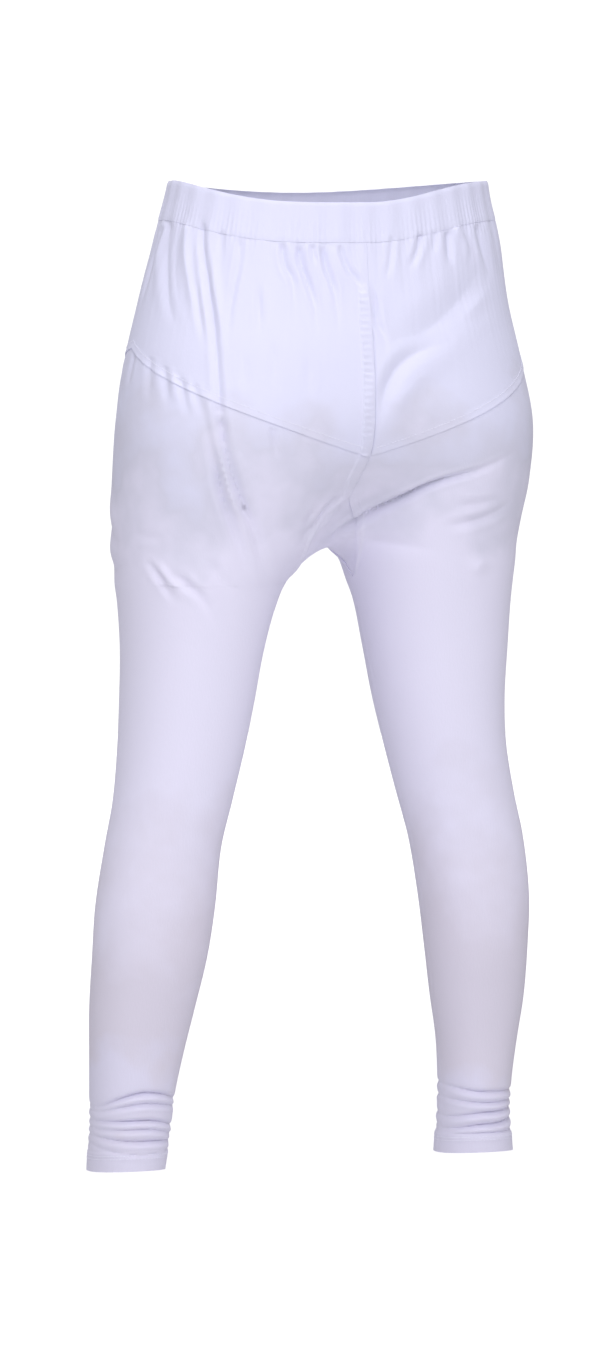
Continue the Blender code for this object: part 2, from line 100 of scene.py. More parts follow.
# Rounding of the sections, and of the arch between the legs
SQUARENESS = 2.15
ARCH_BLEND = 50 * MM
BLEND_START = -30 * MM
BLEND_RUN = 250 * MM
LEVEL_START = -285 * MM
ARCH_END = -368 * MM
BELOW_CORNER = 0.5 * MM
THIGH_END = -424 * MM
ANKLE_START = -812 * MM
BACK_SHARE = 0.75

# The two legs' outer and inner sides, and the depth in front of and behind the middle, in mm
Section = namedtuple("Section", "z left_outer left_inner right_outer right_inner front back")
SECTIONS = (
    Section(0, 148, -148, 148, -148, 106, 102),
    Section(-18, 152, -150, 151, -150, 108, 103),
    Section(-54, 162, -150, 160, -150, 111, 106),
    Section(-110, 178, -138, 167, -138, 114, 114),
    Section(-165, 192, -110, 178, -110, 114, 123),
    Section(-220, 201, -73, 187, -73, 110, 127),
    Section(-275, 204, -29, 184, -29, 103, 115),
    Section(-310, 205, -3, 178, -5, 98, 102),
    Section(-331, 204, 11, 175, 6, 95, 95),
    Section(-347, 202, 32, 174, 14, 91, 91),
    Section(-365, 200, 48, 172, 22, 87, 87),
    Section(-385, 198, 57, 170, 29, 82, 83),
    Section(-425, 196, 68, 168, 37, 75, 76),
    Section(-475, 197, 77, 166, 47, 70, 69),
    Section(-515, 199, 85, 168, 57, 66, 64),
    Section(-565, 204, 97, 177, 70, 60, 58),
    Section(-605, 212, 107, 186, 81, 57, 56),
    Section(-660, 222, 114, 191, 90, 54, 59),
    Section(-705, 226, 122, 189, 95, 49, 59),
    Section(-755, 229, 134, 186, 101, 44, 52),
    Section(-795, 229, 144, 180, 107, 41, 47),
    Section(-830, 229, 152, 175, 109, 40, 46),
    Section(-860, 229, 156, 173, 109, 41, 47),
    Section(-903, 231, 163, 176, 106, 42, 48),
)

# A fold is drawn on a flat board that stands square to a view of the garment, as points "across" to the
# right of that view and "up" on the garment's own heights, in mm. A positive depth presses the cloth in
# and a negative one raises it. A valley presses in a sharp V that is wider on the left of the path, as
# where a bulge rolls over above a crease. Fades names the ends where the fold dies away slowly.
Board = namedtuple("Board", "turn folds")
Fold = namedtuple("Fold", "path width depth fades valley", defaults=("end", 0))
BACK_FOLDS = (
    # Yoke, left of the middle seam
    Fold(((-144, -36), (-147, -68), (-145, -108), (-136, -140)), 4, 2.2),
    Fold(((-147, -38), (-151, -54), (-156, -78), (-158, -112)), 3.5, -1.8),
    Fold(((-137, -44), (-139, -82), (-133, -124)), 3, 1.4, "both"),
    Fold(((-128, -38), (-129, -66), (-125, -98), (-117, -130)), 3.5, -2.2),
    Fold(((-114, -38), (-114, -60), (-109, -96), (-103, -138), (-98, -204)), 3.2, 3.2, "none"),
    Fold(((-106, -52), (-103, -92), (-97, -130), (-92, -170)), 4, -1.6, "both"),
    Fold(((-121, -84), (-117, -118), (-109, -156)), 3, 1.8, "both"),
    Fold(((-80, -52), (-82, -76), (-87, -102), (-91, -128), (-94, -156)), 2.8, 2.4),
    Fold(((-64, -90), (-63, -119), (-64, -146)), 3, 2.4, "both"),
    Fold(((-97, -46), (-98, -74)), 2.6, 1.2),
    Fold(((-43, -56), (-40, -76), (-33, -92), (-30, -130)), 2.8, 3.4),
    Fold(((-28, -58), (-25, -76), (-19, -93), (-13, -114), (-10, -148)), 2.8, 4.0),
    Fold(((-16, -58), (-12, -78)), 2.4, 2.6),
    Fold(((-7, -60), (-2, -80), (5, -102), (8, -142)), 2.8, 3.8),
    Fold(((8, -58), (17, -80), (26, -91), (31, -106)), 2.6, 3.0),
    Fold(((-50, -140), (-49, -190)), 4, 1.2, "both"),
    Fold(((-20, -150), (-18, -200)), 4, 1.0, "both"),
    Fold(((-76, -150), (-74, -196)), 4, 1.0, "both"),
    # Yoke, right of the middle seam
    Fold(((34, -88), (40, -106), (43, -127), (48, -138), (53, -154)), 3, 3.4, "both"),
    Fold(((56, -50), (54, -74), (50, -92)), 2.6, 1.6),
    Fold(((82, -48), (78, -66), (71, -82)), 3, 2.6),
    Fold(((95, -46), (94, -70)), 2.6, 1.6),
    Fold(((107, -46), (109, -80)), 3, 2.4),
    Fold(((113, -42), (123, -58), (125, -76)), 3.2, -1.8),
    Fold(((133, -40), (138, -58), (144, -78), (146, -98)), 3, 2.2),
    Fold(((46, -142), (78, -139), (108, -118), (132, -88), (142, -62)), 13, 3.0, "both"),
    Fold(((116, -128), (134, -110), (148, -92)), 6, -1.2, "both"),
    Fold(((41, -226), (49, -192), (62, -166), (86, -151), (118, -144)), 6, 3.4, "both"),
    Fold(((58, -216), (67, -192), (84, -174), (112, -162)), 8, -1.6, "both"),
    # Gathers below the yoke's seam on the left
    Fold(((-161, -158), (-163, -200)), 3, 1.4),
    Fold(((-148, -166), (-145, -206)), 3, 1.7),
    Fold(((-140, -172), (-138, -198)), 3, -1.0),
    Fold(((-133, -176), (-127, -214)), 3, 1.7),
    Fold(((-121, -182), (-114, -212)), 3, 1.5),
    Fold(((-109, -190), (-102, -231)), 3.4, -1.4),
    Fold(((-51, -220), (-47, -250)), 2.6, 2.2),
    # A narrow ridge between two long drags, from the yoke down the left of the seat
    Fold(((-98, -204), (-93, -244), (-82, -279), (-69, -310), (-62, -339), (-53, -370)), 3.6, 5.2),
    Fold(((-103, -210), (-97, -240), (-91, -264), (-82, -292), (-74, -318)), 4.4, -2.6, "both"),
    Fold(((-110, -208), (-102, -250), (-97, -278), (-88, -305), (-78, -336), (-69, -364)), 3.8, 5.0, "both"),
    Fold(((-84, -236), (-76, -262), (-66, -290)), 3.6, -1.6, "both"),
    Fold(((-72, -276), (-62, -314), (-50, -372)), 3.4, 1.8, "both"),
    # Back of the left thigh
    Fold(((-166, -338), (-150, -361), (-136, -382)), 3, 2.8, "both"),
    Fold(((-158, -338), (-142, -359), (-126, -380)), 3.0, -1.6, "both"),
    Fold(((-140, -350), (-128, -361), (-113, -376), (-98, -406)), 3.6, 3.2, "both"),
    Fold(((-112, -334), (-99, -355), (-86, -374)), 5, 1.6, "both"),
    Fold(((-178, -318), (-146, -319)), 4, 1.0, "both"),
    # Crease under the right of the seat, the hollow round it, and the soft folds below it
    Fold(
        ((-78, -326), (-30, -330), (10, -326), (57, -300), (99, -278), (139, -264), (184, -240)),
        38,
        6,
        "both",
    ),
    Fold(((4, -332), (23, -316), (57, -297), (99, -275), (139, -261), (180, -239)), 15, 0, "both", 9.5),
    Fold(((4, -330), (23, -317), (57, -297), (99, -275), (139, -261), (178, -241)), 2.6, 5.4),
    Fold(((20, -336), (42, -331), (73, -332), (104, -335)), 6, 0.8, "both", 2.4),
    Fold(((108, -295), (140, -292), (160, -286)), 4, 1.8, "both"),
    Fold(((100, -313), (127, -309), (154, -299), (168, -285)), 4, 2.8, "both"),
    Fold(((142, -341), (128, -358)), 7, -2.0, "both"),
    # Beside the gusset
    Fold(((14, -284), (4, -294), (-8, -309), (-19, -320), (-27, -332)), 3.6, 3.6, "both"),
    Fold(((-10, -294), (-17, -306), (-24, -322)), 3.6, 2.2, "both"),
)
FRONT_FOLDS = (
    Fold(((-10, -352), (-70, -300), (-150, -262)), 9, 1.5, "both", 4.5),
    Fold(((14, -352), (66, -306), (140, -270)), 9, 1.5, "both", 4.5),
    Fold(((14, -330), (52, -318), (96, -306)), 6, 1.8, "both"),
    Fold(((-16, -334), (-50, -326), (-88, -320)), 6, 1.8, "both"),
    Fold(((100, -52), (96, -110), (92, -150), (84, -230)), 9, 3.3),
    Fold(((-96, -50), (-90, -110), (-88, -150), (-70, -240)), 9, 3.3),
    Fold(((60, -48), (56, -90), (50, -126)), 4, 1.7),
    Fold(((28, -46), (27, -80), (22, -112)), 3, 1.4),
    Fold(((-22, -46), (-25, -84), (-24, -118)), 3, 1.5),
    Fold(((-56, -48), (-54, -80), (-48, -110)), 4, 1.5),
    Fold(((130, -44), (134, -86), (132, -120)), 5, 2.0),
    Fold(((-132, -42), (-136, -80), (-138, -116)), 5, 2.0),
    Fold(((78, -206), (88, -236), (104, -262)), 6, 2.2),
    Fold(((-62, -206), (-76, -240), (-96, -268)), 6, 2.2),
    Fold(((110, -560), (140, -574), (176, -570)), 9, 1.5, "both"),
    Fold(((118, -600), (150, -590), (184, -600)), 9, 1.4, "both"),
    Fold(((-80, -566), (-112, -578), (-150, -570)), 9, 1.5, "both"),
    Fold(((-86, -604), (-120, -594), (-158, -606)), 9, 1.4, "both"),
)
LEFT_FOLDS = (
    Fold(((-40, -42), (-44, -80), (-50, -130)), 6, 2.1),
    Fold(((0, -40), (-4, -84), (-2, -124)), 5, 1.8),
    Fold(((-30, -158), (-36, -190), (-30, -216)), 5, 1.8),
    Fold(((14, -156), (12, -188)), 4, 1.7),
    Fold(((-60, -300), (-14, -322), (34, -330)), 10, 2.4, "both"),
    Fold(((-52, -350), (-10, -352), (30, -342)), 8, 1.8, "both"),
)
RIGHT_FOLDS = (
    Fold(((42, -42), (46, -80), (54, -126)), 6, 2.1),
    Fold(((4, -40), (6, -84), (2, -130)), 5, 1.8),
    Fold(((36, -160), (40, -194), (34, -222)), 5, 1.8),
    Fold(((-8, -156), (-12, -190)), 4, 1.7),
    Fold(((-54, -250), (-10, -262), (40, -284), (66, -300)), 10, 3.0, "both"),
    Fold(((-40, -300), (0, -312), (40, -330)), 8, 1.8, "both"),
)
BOARDS = (
    Board(math.radians(162), BACK_FOLDS),
    Board(0.0, FRONT_FOLDS),
    Board(math.radians(90), LEFT_FOLDS),
    Board(math.radians(270), RIGHT_FOLDS),
)

# A fold across its width: how sharp its trough is, the size and place of the low shoulders beside it, and
# the slopes of a valley
CUSP = 1.4
SHOULDER = 0.28
SHOULDER_PLACE = 1.9
VALLEY_LEFT = 1.7
VALLEY_RIGHT = 0.7
FOLD_REACH = 4

# Where a fold has come in fully, slowly or quickly, and where it begins to die away, along its length
SLOW_START = 0.35
QUICK_START = (-0.02, 0.08)
SLOW_END = 0.45

# How squarely the cloth must face a board for its folds to start and to show in full
FACING = (-0.05, 0.35)

# Rings of cloth pushed up at the ankles: the height of each trough at the leg's outer side, back, inner
# side and front, its width, and its depth at the back and at the front, all in mm. A trough falls in
# quickly from above and comes out slowly below.
Ring = namedtuple("Ring", "outer back inner front width back_depth front_depth")
LEFT_RINGS = (
    Ring(-841, -825, -836, -834, 2.8, 5.1, 2.9),
    Ring(-845, -835, -842, -843, 2.5, 3.2, 4.0),
    Ring(-853, -850, -860, -853, 2.8, 4.9, 3.6),
    Ring(-860, -858, -868, -862, 2.5, 2.9, 4.3),
    Ring(-867, -869, -873, -872, 2.8, 4.3, 2.5),
    Ring(-876, -881, -880, -879, 2.0, 1.6, 1.4),
)
RIGHT_RINGS = (
    Ring(-842, -840, -836, -838, 2.8, 4.2, 3.2),
    Ring(-850, -850, -848, -849, 2.5, 3.5, 3.6),
    Ring(-857, -859, -866, -860, 2.8, 4.4, 4.0),
    Ring(-866, -870, -877, -871, 2.8, 4.9, 2.9),
    Ring(-878, -878, -881, -880, 2.6, 2.2, 2.9),
)
RING_TROUGH = 1.25
RING_ABOVE = 0.5
RING_BELOW = 1.1
RING_SHOULDER = 0.4
RING_AT_SIDES = 0.12
RING_SIDE_POWER = 0.7

# Gathers that the elastic throws into the yoke, uneven in length, with fine ripples and faint streaks
GATHERS_PER_SIDE = 18
GATHER_LENGTH = 75 * MM
GATHER_UNEVENNESS = 0.25
GATHER_LENGTH_WAVES = 3.5
GATHER_IN_BAND = 0.75
RIPPLES_PER_SIDE = 92
RIPPLE_DEPTH = 0.4 * MM
RIPPLE_LENGTH = 16 * MM
RIPPLE_SWAY = 2.2
STREAK_DEPTH = 0.045 * MM
STREAK_START = 10 * MM
STREAK_FADE = 30 * MM
STREAK_LENGTH = 170 * MM
STREAKS = ((29, 0.5), (41, -0.7), (58, 0.3), (73, 0.9))

# Seams: the groove at the edges, the allowance that shows as a raised strip, and the overlock's ticks
GROOVE_DEPTH = 0.3 * MM
GROOVE_WIDTH = 1.0 * MM
FOOT_GROOVE = 0.4
WELT_EDGE = 1.2 * MM
MIDDLE_WELT = 10.5 * MM
MIDDLE_WELT_LIFT = 1.3 * MM
MIDDLE_WELT_TOP = -88 * MM
MIDDLE_WELT_FADE = 20 * MM
SEAM_DIP = 1.2 * MM
SEAM_DIP_WIDTH = 2.6 * MM
GUSSET_WELT = 6 * MM
WELT_WIDENS = (-300 * MM, -262 * MM)
RIGHT_WELT_START = (-290 * MM, -300 * MM)
ARCH_WELT_FADE = 20 * MM
FOOT_WELT = 6.5 * MM
FOOT_WELT_LIFT = 0.25 * MM
FOOT_EDGE = 2.2 * MM
FOOT_EDGE_LIFT = 0.5 * MM
UNDER_EDGE = 3 * MM
UNDER_EDGE_DIP = 0.15 * MM
TICK_SPACING = 6 * MM
TICK_LIFT = 0.7 * MM
TICK_START = 3 * MM

# Grid on which the sections are worked out before the pieces read them
LEVEL_STEP = 2.5 * MM
RAYS = 360
RAY_STEP = 4 * MM
RAY_REACH = 260 * MM
ALONG = np.linspace(0.0, 1.0, 481)

# Rows and columns of each piece, crowded at the seams and closer together behind
EDGE_STEPS = np.array([0.0, 0.5, 1.1, 2.2, 3.8, 5.6, 7.2, 8.6, 9.6, 10.4, 11.4, 12.6]) * MM
COLUMNS_IN_FRONT = 0.4
BAND_COLUMNS = 361
BAND_ROWS = 17
YOKE_COLUMNS = 290
YOKE_ROWS = 100
YOKE_EDGE_ROWS = 9
LEG_COLUMNS = 172
LEG_TOP_HEIGHT = -LEVEL_START / 2
LEG_TOP_ROWS = 56
LEG_TOP_EDGE_ROWS = 5
ARCH_ROW = 2.2 * MM
THIGH_ROWS = 25
SHANK_ROWS = 84
ANKLE_ROWS = 66
HEM_ROWS = 10
GUSSET_ROW = 1.6 * MM
GUSSET_COLUMNS = 44

# Rows of stitches: points along each, the share left free at its ends, and their places at the hem
STITCH_POINTS = 400
STITCH_ENDS = 0.004
HEM_STITCH_DOWN = 3.5 * MM
HEM_STITCH_ROWS = (0.0, 3.0 * MM)
THREAD_SIDES = 6
STITCH_SPOTS = np.array([0.0, 0.2, 0.8, 1.0])
STITCH_HEIGHTS = np.array([-0.6, 0.5, 0.5, -0.6])

# Painted shade by height: seat, calves, hems and waist darker, thighs lighter, as the light fell, the calves
# also a touch pinker where skin showed through; each tone with its place from the hem (0) to the waist (1)
PAINTED_SHADE_TONES = (
    ("hem_painted_shade", 0.24),
    ("calf_painted_shade_and_skin_tint", 0.3),
    ("calf_painted_shade_and_skin_tint", 0.41),
    ("thigh_painted_light", 0.58),
    ("thigh_painted_light", 0.85),
    ("seat_painted_shade", 0.93),
)
PAINTED_SHADE_BOTTOM = -0.9
PAINTED_SHADE_TOP = -0.05
TONE_DRIFT = 0.35

# Lights: turn from straight in front toward the left, rise, distance and width in metres, and power
LIT_POINT = Vector((0.02, 0.0, -0.45))
STUDIO_LIGHTS = (
    ("key", 162, 35, 3.2, 1.4, 30.5),
    ("upper_key", 162, 65, 2.6, 1.4, 9.0),
    ("low_key", 162, 0, 1.6, 0.8, 1.6),
    ("left_fill", 110, 30, 3.2, 1.4, 8.0),
    ("right_fill", 214, 30, 3.2, 1.4, 9.5),
    ("top_fill", 162, 88, 2.4, 1.4, 15.0),
)
COOL_WHITE = (1.0, 0.99, 1.05)
WHITE = (1.0, 1.0, 1.0, 1.0)
FILL_STRENGTH = 0.35
BACKDROP_STRENGTH = 1.1

# Floor and camera
FLOOR_HEIGHT = -1.06
FLOOR_RADIUS = 6.0
FLOOR_GLOW = 0.45
EYE = Vector((1.5705, 4.7470, -0.045))
TARGET = Vector((0.0254, -0.0083, -0.4537))
LENS = 145.2
SENSOR = 36.0
VIEW_END = 50.0


def smooth_step(low, high, value):
    """Rises from 0 at low to 1 at high with no corner."""
    t = np.clip((np.asarray(value, float) - low) / (high - low), 0.0, 1.0)
    return t * t * (3.0 - 2.0 * t)


def run_lengths(line):
    """Length along a line from its start to each of its points."""
    return np.concatenate([[0.0], np.cumsum(np.linalg.norm(np.diff(line, axis=0), axis=1))])


def read_along(marks, lengths, values):
    """The values that belong to the points of a line, read at other lengths along it."""
    return np.stack([np.interp(marks, lengths, column) for column in values.T], axis=-1)


def column_at(name, z):
    """One column of SECTIONS at the heights z, as a smooth curve through the rows."""
    knots = -np.array([row.z for row in SECTIONS], float) * MM
    values = np.array([getattr(row, name) for row in SECTIONS], float) * MM
    rises = np.diff(values) / np.diff(knots)
    slopes = np.concatenate([rises[:1], (rises[:-1] + rises[1:]) / 2.0, rises[-1:]])
    depth = np.clip(-np.asarray(z, float), knots[0], knots[-1])
    i = np.clip(np.searchsorted(knots, depth, side="right") - 1, 0, len(knots) - 2)
    span = knots[i + 1] - knots[i]
    t = (depth - knots[i]) / span
    start = (1 + 2 * t) * (1 - t) ** 2 * values[i] + t * (1 - t) ** 2 * span * slopes[i]
    end = t * t * (3 - 2 * t) * values[i + 1] + t * t * (t - 1) * span * slopes[i + 1]
    return start + end


def tube(side, z):
    """Centre x, centre y, half width and half depth of one leg's tube. side is 1 for left, -1 for right."""
    leg = "left" if side > 0 else "right"
    outer = column_at(leg + "_outer", z)
    inner = column_at(leg + "_inner", z)
    front = column_at("front", z)
    back = column_at("back", z)
    return side * (outer + inner) / 2, (back - front) / 2, (outer - inner) / 2, (back + front) / 2


def tube_distance(side, x, y, z):
    """Roughly how far a point is outside one leg's tube, negative inside."""
    cx, cy, a, b = tube(side, z)
    ratio = np.abs((x - cx) / a) ** SQUARENESS + np.abs((y - cy) / b) ** SQUARENESS
    return (ratio ** (1.0 / SQUARENESS) - 1.0) * np.minimum(a, b)


def distance(x, y, z):
    """Roughly how far a point is outside the garment: the two tubes, melted together near the middle."""
    left = tube_distance(1, x, y, z)
    right = tube_distance(-1, x, y, z)
    blend = ARCH_BLEND * smooth_step(0.0, BLEND_RUN, BLEND_START - np.asarray(z, float)) + 1e-6
    overlap = np.clip(blend - np.abs(left - right), 0.0, None) / blend
    return np.minimum(left, right) - overlap * overlap * blend / 4.0


def slope_of(points):
    """How the distance grows along x, y and z at points."""
    step = 0.5 * MM
    x, y, z = points[..., 0], points[..., 1], points[..., 2]
    rise = np.stack(
        [
            distance(x + step, y, z) - distance(x - step, y, z),
            distance(x, y + step, z) - distance(x, y - step, z),
            distance(x, y, z + step) - distance(x, y, z - step),
        ],
        axis=-1,
    )
    return rise / (2 * step)


def outward(points):
    """Unit normals of the garment's smooth form at points on it."""
    slope = slope_of(points)
    return slope / np.linalg.norm(slope, axis=-1, keepdims=True)


def settled(points):
    """The same points moved level onto the smooth form itself."""
    for _ in range(2):
        slope = slope_of(points)[..., :2]
        away = distance(points[..., 0], points[..., 1], points[..., 2])[..., None]
        move = -away * slope / np.maximum((slope**2).sum(axis=-1, keepdims=True), 0.2)
        points = points + np.concatenate([move, np.zeros_like(away)], axis=-1)
    return points


def gusset_edges():
    """The gusset's corners seen from below, and the unit vector out of the edge that follows each one."""
    corners = np.array(GUSSET_CORNERS, float) * MM
    runs = np.roll(corners, -1, axis=0) - corners
    out = np.stack([-runs[:, 1], runs[:, 0]], axis=-1)
    return corners, out / np.linalg.norm(out, axis=1, keepdims=True)


def outside_gusset(x, y):
    """How far a point is outside the gusset seen from below, negative inside."""
    corners, out = gusset_edges()
    away = [(x - c[0]) * n[0] + (y - c[1]) * n[1] for c, n in zip(corners, out)]
    return np.max(away, axis=0)


def underside(x, y):
    """Height of the form's underside between the legs."""
    low = np.full(np.shape(x), BELOW_GUSSET)
    high = np.full(np.shape(x), ABOVE_GUSSET)
    for _ in range(40):
        middle = (low + high) / 2
        outside = distance(x, y, middle) > 0
        low = np.where(outside, middle, low)
        high = np.where(outside, high, middle)
    return (low + high) / 2


def middle_seam(y, z):
    """Where the middle seam lies to the left of the middle."""
    drift = SEAM_DRIFT * smooth_step(-DRIFT_START, -DRIFT_END, -np.asarray(z, float))
    return np.where(y > 0, drift, 0.0)


def section(side, z):
    """One half of the section at height z, from front to back round the outer side, and its length."""
    cx, cy, _, _ = tube(side, z)
    turn = np.linspace(0.0, 2.0 * math.pi, RAYS + 1)
    away = np.stack([-side * np.cos(turn), -np.sin(turn)], axis=-1)
    reach = np.arange(RAY_STEP, RAY_REACH, RAY_STEP)
    grid = distance(cx + away[:, :1] * reach, cy + away[:, 1:] * reach, z)
    first = np.argmax(grid > 0, axis=1)
    leaves = (grid > 0).any(axis=1)
    low = np.where(leaves, reach[first] - RAY_STEP, RAY_REACH)
    high = np.where(leaves, reach[first], RAY_REACH)
    for _ in range(24):
        middle = (low + high) / 2
        outside = distance(cx + away[:, 0] * middle, cy + away[:, 1] * middle, z) > 0
        low = np.where(outside, low, middle)
        high = np.where(outside, middle, high)
    x = cx + away[:, 0] * low
    y = cy + away[:, 1] * low
    room = np.minimum(side * (x - middle_seam(y, z)), outside_gusset(x, y)) - SEAM_GAP / 2
    kept = np.flatnonzero(room > 0)
    start, end = kept[0], kept[-1]
    found = np.stack([x, y], axis=-1)
    line = found[start : end + 1]
    if start > 0:
        t = room[start] / (room[start] - room[start - 1])
        line = np.concatenate([[found[start] + t * (found[start - 1] - found[start])], line])
    if end < RAYS:
        t = room[end] / (room[end] - room[end + 1])
        line = np.concatenate([line, [found[end] + t * (found[end + 1] - found[end])]])
    lengths = run_lengths(line)
    return read_along(ALONG * lengths[-1], lengths, line), lengths[-1]


class Half:
    """The left or the right half of the garment's smooth form, read by share round and height."""

    def __init__(self, side):
        self.side = side
        count = int(round((0.0 - HEM_BOTTOM) / LEVEL_STEP))
        self.levels = np.linspace(0.0, HEM_BOTTOM, count + 1)
        found = [section(side, z) for z in self.levels]
        self.grid = np.stack([line for line, _ in found])
        self.lengths = np.array([length for _, length in found])

    def at(self, share, z):
        """Points on the form at each share round (0 at the front edge, 1 at the back) and height z."""
        share, z = np.broadcast_arrays(np.asarray(share, float), np.asarray(z, float))
        row = np.clip(z / HEM_BOTTOM, 0.0, 1.0) * (len(self.levels) - 1)
        column = np.clip(share, 0.0, 1.0) * (len(ALONG) - 1)
        i = np.clip(row.astype(int), 0, len(self.levels) - 2)
        j = np.clip(column.astype(int), 0, len(ALONG) - 2)
        s, t = (row - i)[..., None], (column - j)[..., None]
        upper = self.grid[i, j] * (1 - t) + self.grid[i, j + 1] * t
        lower = self.grid[i + 1, j] * (1 - t) + self.grid[i + 1, j + 1] * t
        flat = upper * (1 - s) + lower * s
        return settled(np.concatenate([flat, z[..., None]], axis=-1))

    def length(self, z):
        """Length of the half section at height z."""
        return np.interp(-np.asarray(z, float), -self.levels, self.lengths)


@functools.cache
def half_form(side):
    """The half form of one side, worked out once."""
    return Half(side)


def toward_back(share):
    """Splits a share round into how far it is from the side seam, 0 to 1, and whether it is behind."""
    share = np.asarray(share, float)
    return np.abs(2.0 * share - 1.0), share > 0.5


def waist_height(side, share):
    """Height of the waistband's upper edge."""
    turn, behind = toward_back(share)
    dip = np.where(behind, WAIST_DIP_BACK, WAIST_DIP_FRONT)
    lean = np.where(behind, side * WAIST_LEAN, 0.0)
    return -dip * smooth_step(0.0, 1.0, turn) - lean * np.sin(math.pi * turn) ** 2


def band_foot(side, share):
    """Height of the seam between waistband and yoke."""
    return waist_height(side, share) - BAND_HEIGHT


def yoke_foot(share):
    """Height of the seam between yoke and leg."""
    turn, behind = toward_back(share)
    point = np.where(behind, YOKE_POINT_BACK, YOKE_POINT_FRONT)
    return YOKE_SIDE - point * (1.0 - (1.0 - turn) ** YOKE_POINT_POWER)


def hem_rise(share, z):
    """How far the rows near the hem ride up behind the leg."""
    behind = (0.5 + 0.5 * np.cos(2.0 * math.pi * (share - BACK_SHARE))) ** 2
    return HEM_RISE_BACK * behind * smooth_step(-ANKLE_START, -HEM_BOTTOM - HEM_HEIGHT, -z)


def curve_through(points, steps=8):
    """A smooth line through a fold's few points, in metres."""
    p = np.array(points, float) * MM
    p = np.concatenate([[2 * p[0] - p[1]], p, [2 * p[-1] - p[-2]]])
    t = np.linspace(0.0, 1.0, steps, endpoint=False)[:, None]
    runs = []
    for a, b, c, d in zip(p[:-3], p[1:-2], p[2:-1], p[3:]):
        bend, twist = 2 * a - 5 * b + 4 * c - d, 3 * b - a - 3 * c + d
        runs.append(0.5 * (2 * b + (c - a) * t + bend * t**2 + twist * t**3))
    return np.concatenate(runs + [p[-2:-1]])


def profile(u):
    """A trough with low shoulders, across its width."""
    beside = np.exp(-((u - SHOULDER_PLACE) ** 2)) + np.exp(-((u + SHOULDER_PLACE) ** 2))
    return np.exp(-(u**CUSP)) - SHOULDER * beside


def fold_press(fold, across, up):
    """How far one fold presses the cloth in."""
    path = curve_through(fold.path)
    width = fold.width * MM
    reach = FOLD_REACH * width
    near = (across > path[:, 0].min() - reach) & (across < path[:, 0].max() + reach)
    near &= (up > path[:, 1].min() - reach) & (up < path[:, 1].max() + reach)
    press = np.zeros(across.shape)
    if not near.any():
        return press
    px, py = across[near], up[near]
    nearest = np.full(px.shape, 1.0)
    travel = np.zeros(px.shape)
    left_of = np.zeros(px.shape)
    for k in range(len(path) - 1):
        run = path[k + 1] - path[k]
        length = math.hypot(*run)
        dx, dy = px - path[k][0], py - path[k][1]
        s = np.clip((dx * run[0] + dy * run[1]) / length**2, 0.0, 1.0)
        gap = np.hypot(dx - s * run[0], dy - s * run[1])
        closer = gap < nearest
        nearest = np.where(closer, gap, nearest)
        travel = np.where(closer, (k + s) / (len(path) - 1), travel)
        left_of = np.where(closer, np.sign(run[0] * dy - run[1] * dx), left_of)
    fade = smooth_step(0.0, SLOW_START, travel) if fold.fades == "both" else smooth_step(*QUICK_START, travel)
    if fold.fades != "none":
        fade = fade * (1.0 - smooth_step(SLOW_END, 1.0, travel))
    u = nearest / width
    sharp = np.exp(-u / np.where(left_of > 0, VALLEY_LEFT, VALLEY_RIGHT))
    press[near] = fade * (fold.depth * profile(u) + fold.valley * sharp) * MM
    return press


def board_lift(points, normals):
    """How far all drawn folds move the cloth out."""
    x, y, z = points[..., 0], points[..., 1], points[..., 2]
    lift = np.zeros(x.shape)
    for board in BOARDS:
        c, s = math.cos(board.turn), math.sin(board.turn)
        facing = smooth_step(*FACING, normals[..., 0] * s - normals[..., 1] * c)
        across = x * c + y * s
        press = sum(fold_press(fold, across, z) for fold in board.folds)
        lift -= press * facing
    return lift


def ring_lift(side, points):
    """How far the rings at one ankle move the cloth out."""
    rings = LEFT_RINGS if side > 0 else RIGHT_RINGS
    cx, cy, a, b = tube(side, points[..., 2])
    out = side * (points[..., 0] - cx) / a
    behind = (points[..., 1] - cy) / b
    outer, inner = np.clip(out, 0, 1) ** 2, np.clip(-out, 0, 1) ** 2
    back, front = np.clip(behind, 0, 1) ** 2, np.clip(-behind, 0, 1) ** 2
    total = outer + inner + back + front
    share = np.clip((behind + 1) / 2, 0, 1)
    lift = np.zeros(points.shape[:-1])
    for ring in rings:
        height = ring.outer * outer + ring.inner * inner + ring.back * back + ring.front * front
        u = (points[..., 2] - height / total * MM) / (ring.width * MM)
        depth = ring.front_depth + (ring.back_depth - ring.front_depth) * share
        depth = depth * (RING_AT_SIDES + (1.0 - RING_AT_SIDES) * ((back + front) / total) ** RING_SIDE_POWER)
        trough = np.exp(-np.abs(u) / np.where(u > 0, RING_ABOVE, RING_BELOW))
        lift -= depth * MM * (RING_TROUGH * trough - RING_SHOULDER * np.exp(-((u + SHOULDER_PLACE) ** 2)))
    return lift


def gather_lift(share, below):
    """Height of the gathers, fading with the distance below the band's seam."""
    turn = 2.0 * math.pi * share
    wave = np.cos(GATHERS_PER_SIDE * turn)
    reach = GATHER_LENGTH * (1.0 - GATHER_UNEVENNESS * (1.0 - np.cos(GATHER_LENGTH_WAVES * turn)))
    inside_band = np.where(below < 0, GATHER_IN_BAND, 1.0)
    depth = bpy.context.scene.leggings_sizes.gather_depth
    return depth * wave * inside_band * (1.0 - smooth_step(0.0, 1.0, below / reach))


def ripple_lift(share, below):
    """Height of the fine, uneven ripples that the elastic leaves in the band and just below it."""
    turn = 2.0 * math.pi * share
    height = 0.6 + 0.4 * np.sin(7.0 * turn + 1.0)
    wave = np.sin(RIPPLES_PER_SIDE * turn + RIPPLE_SWAY * np.sin(3.0 * turn)) * height
    inside_band = smooth_step(-0.9 * BAND_HEIGHT, -0.1 * BAND_HEIGHT, below)
    return RIPPLE_DEPTH * wave * inside_band * (1.0 - smooth_step(0.0, RIPPLE_LENGTH, below))


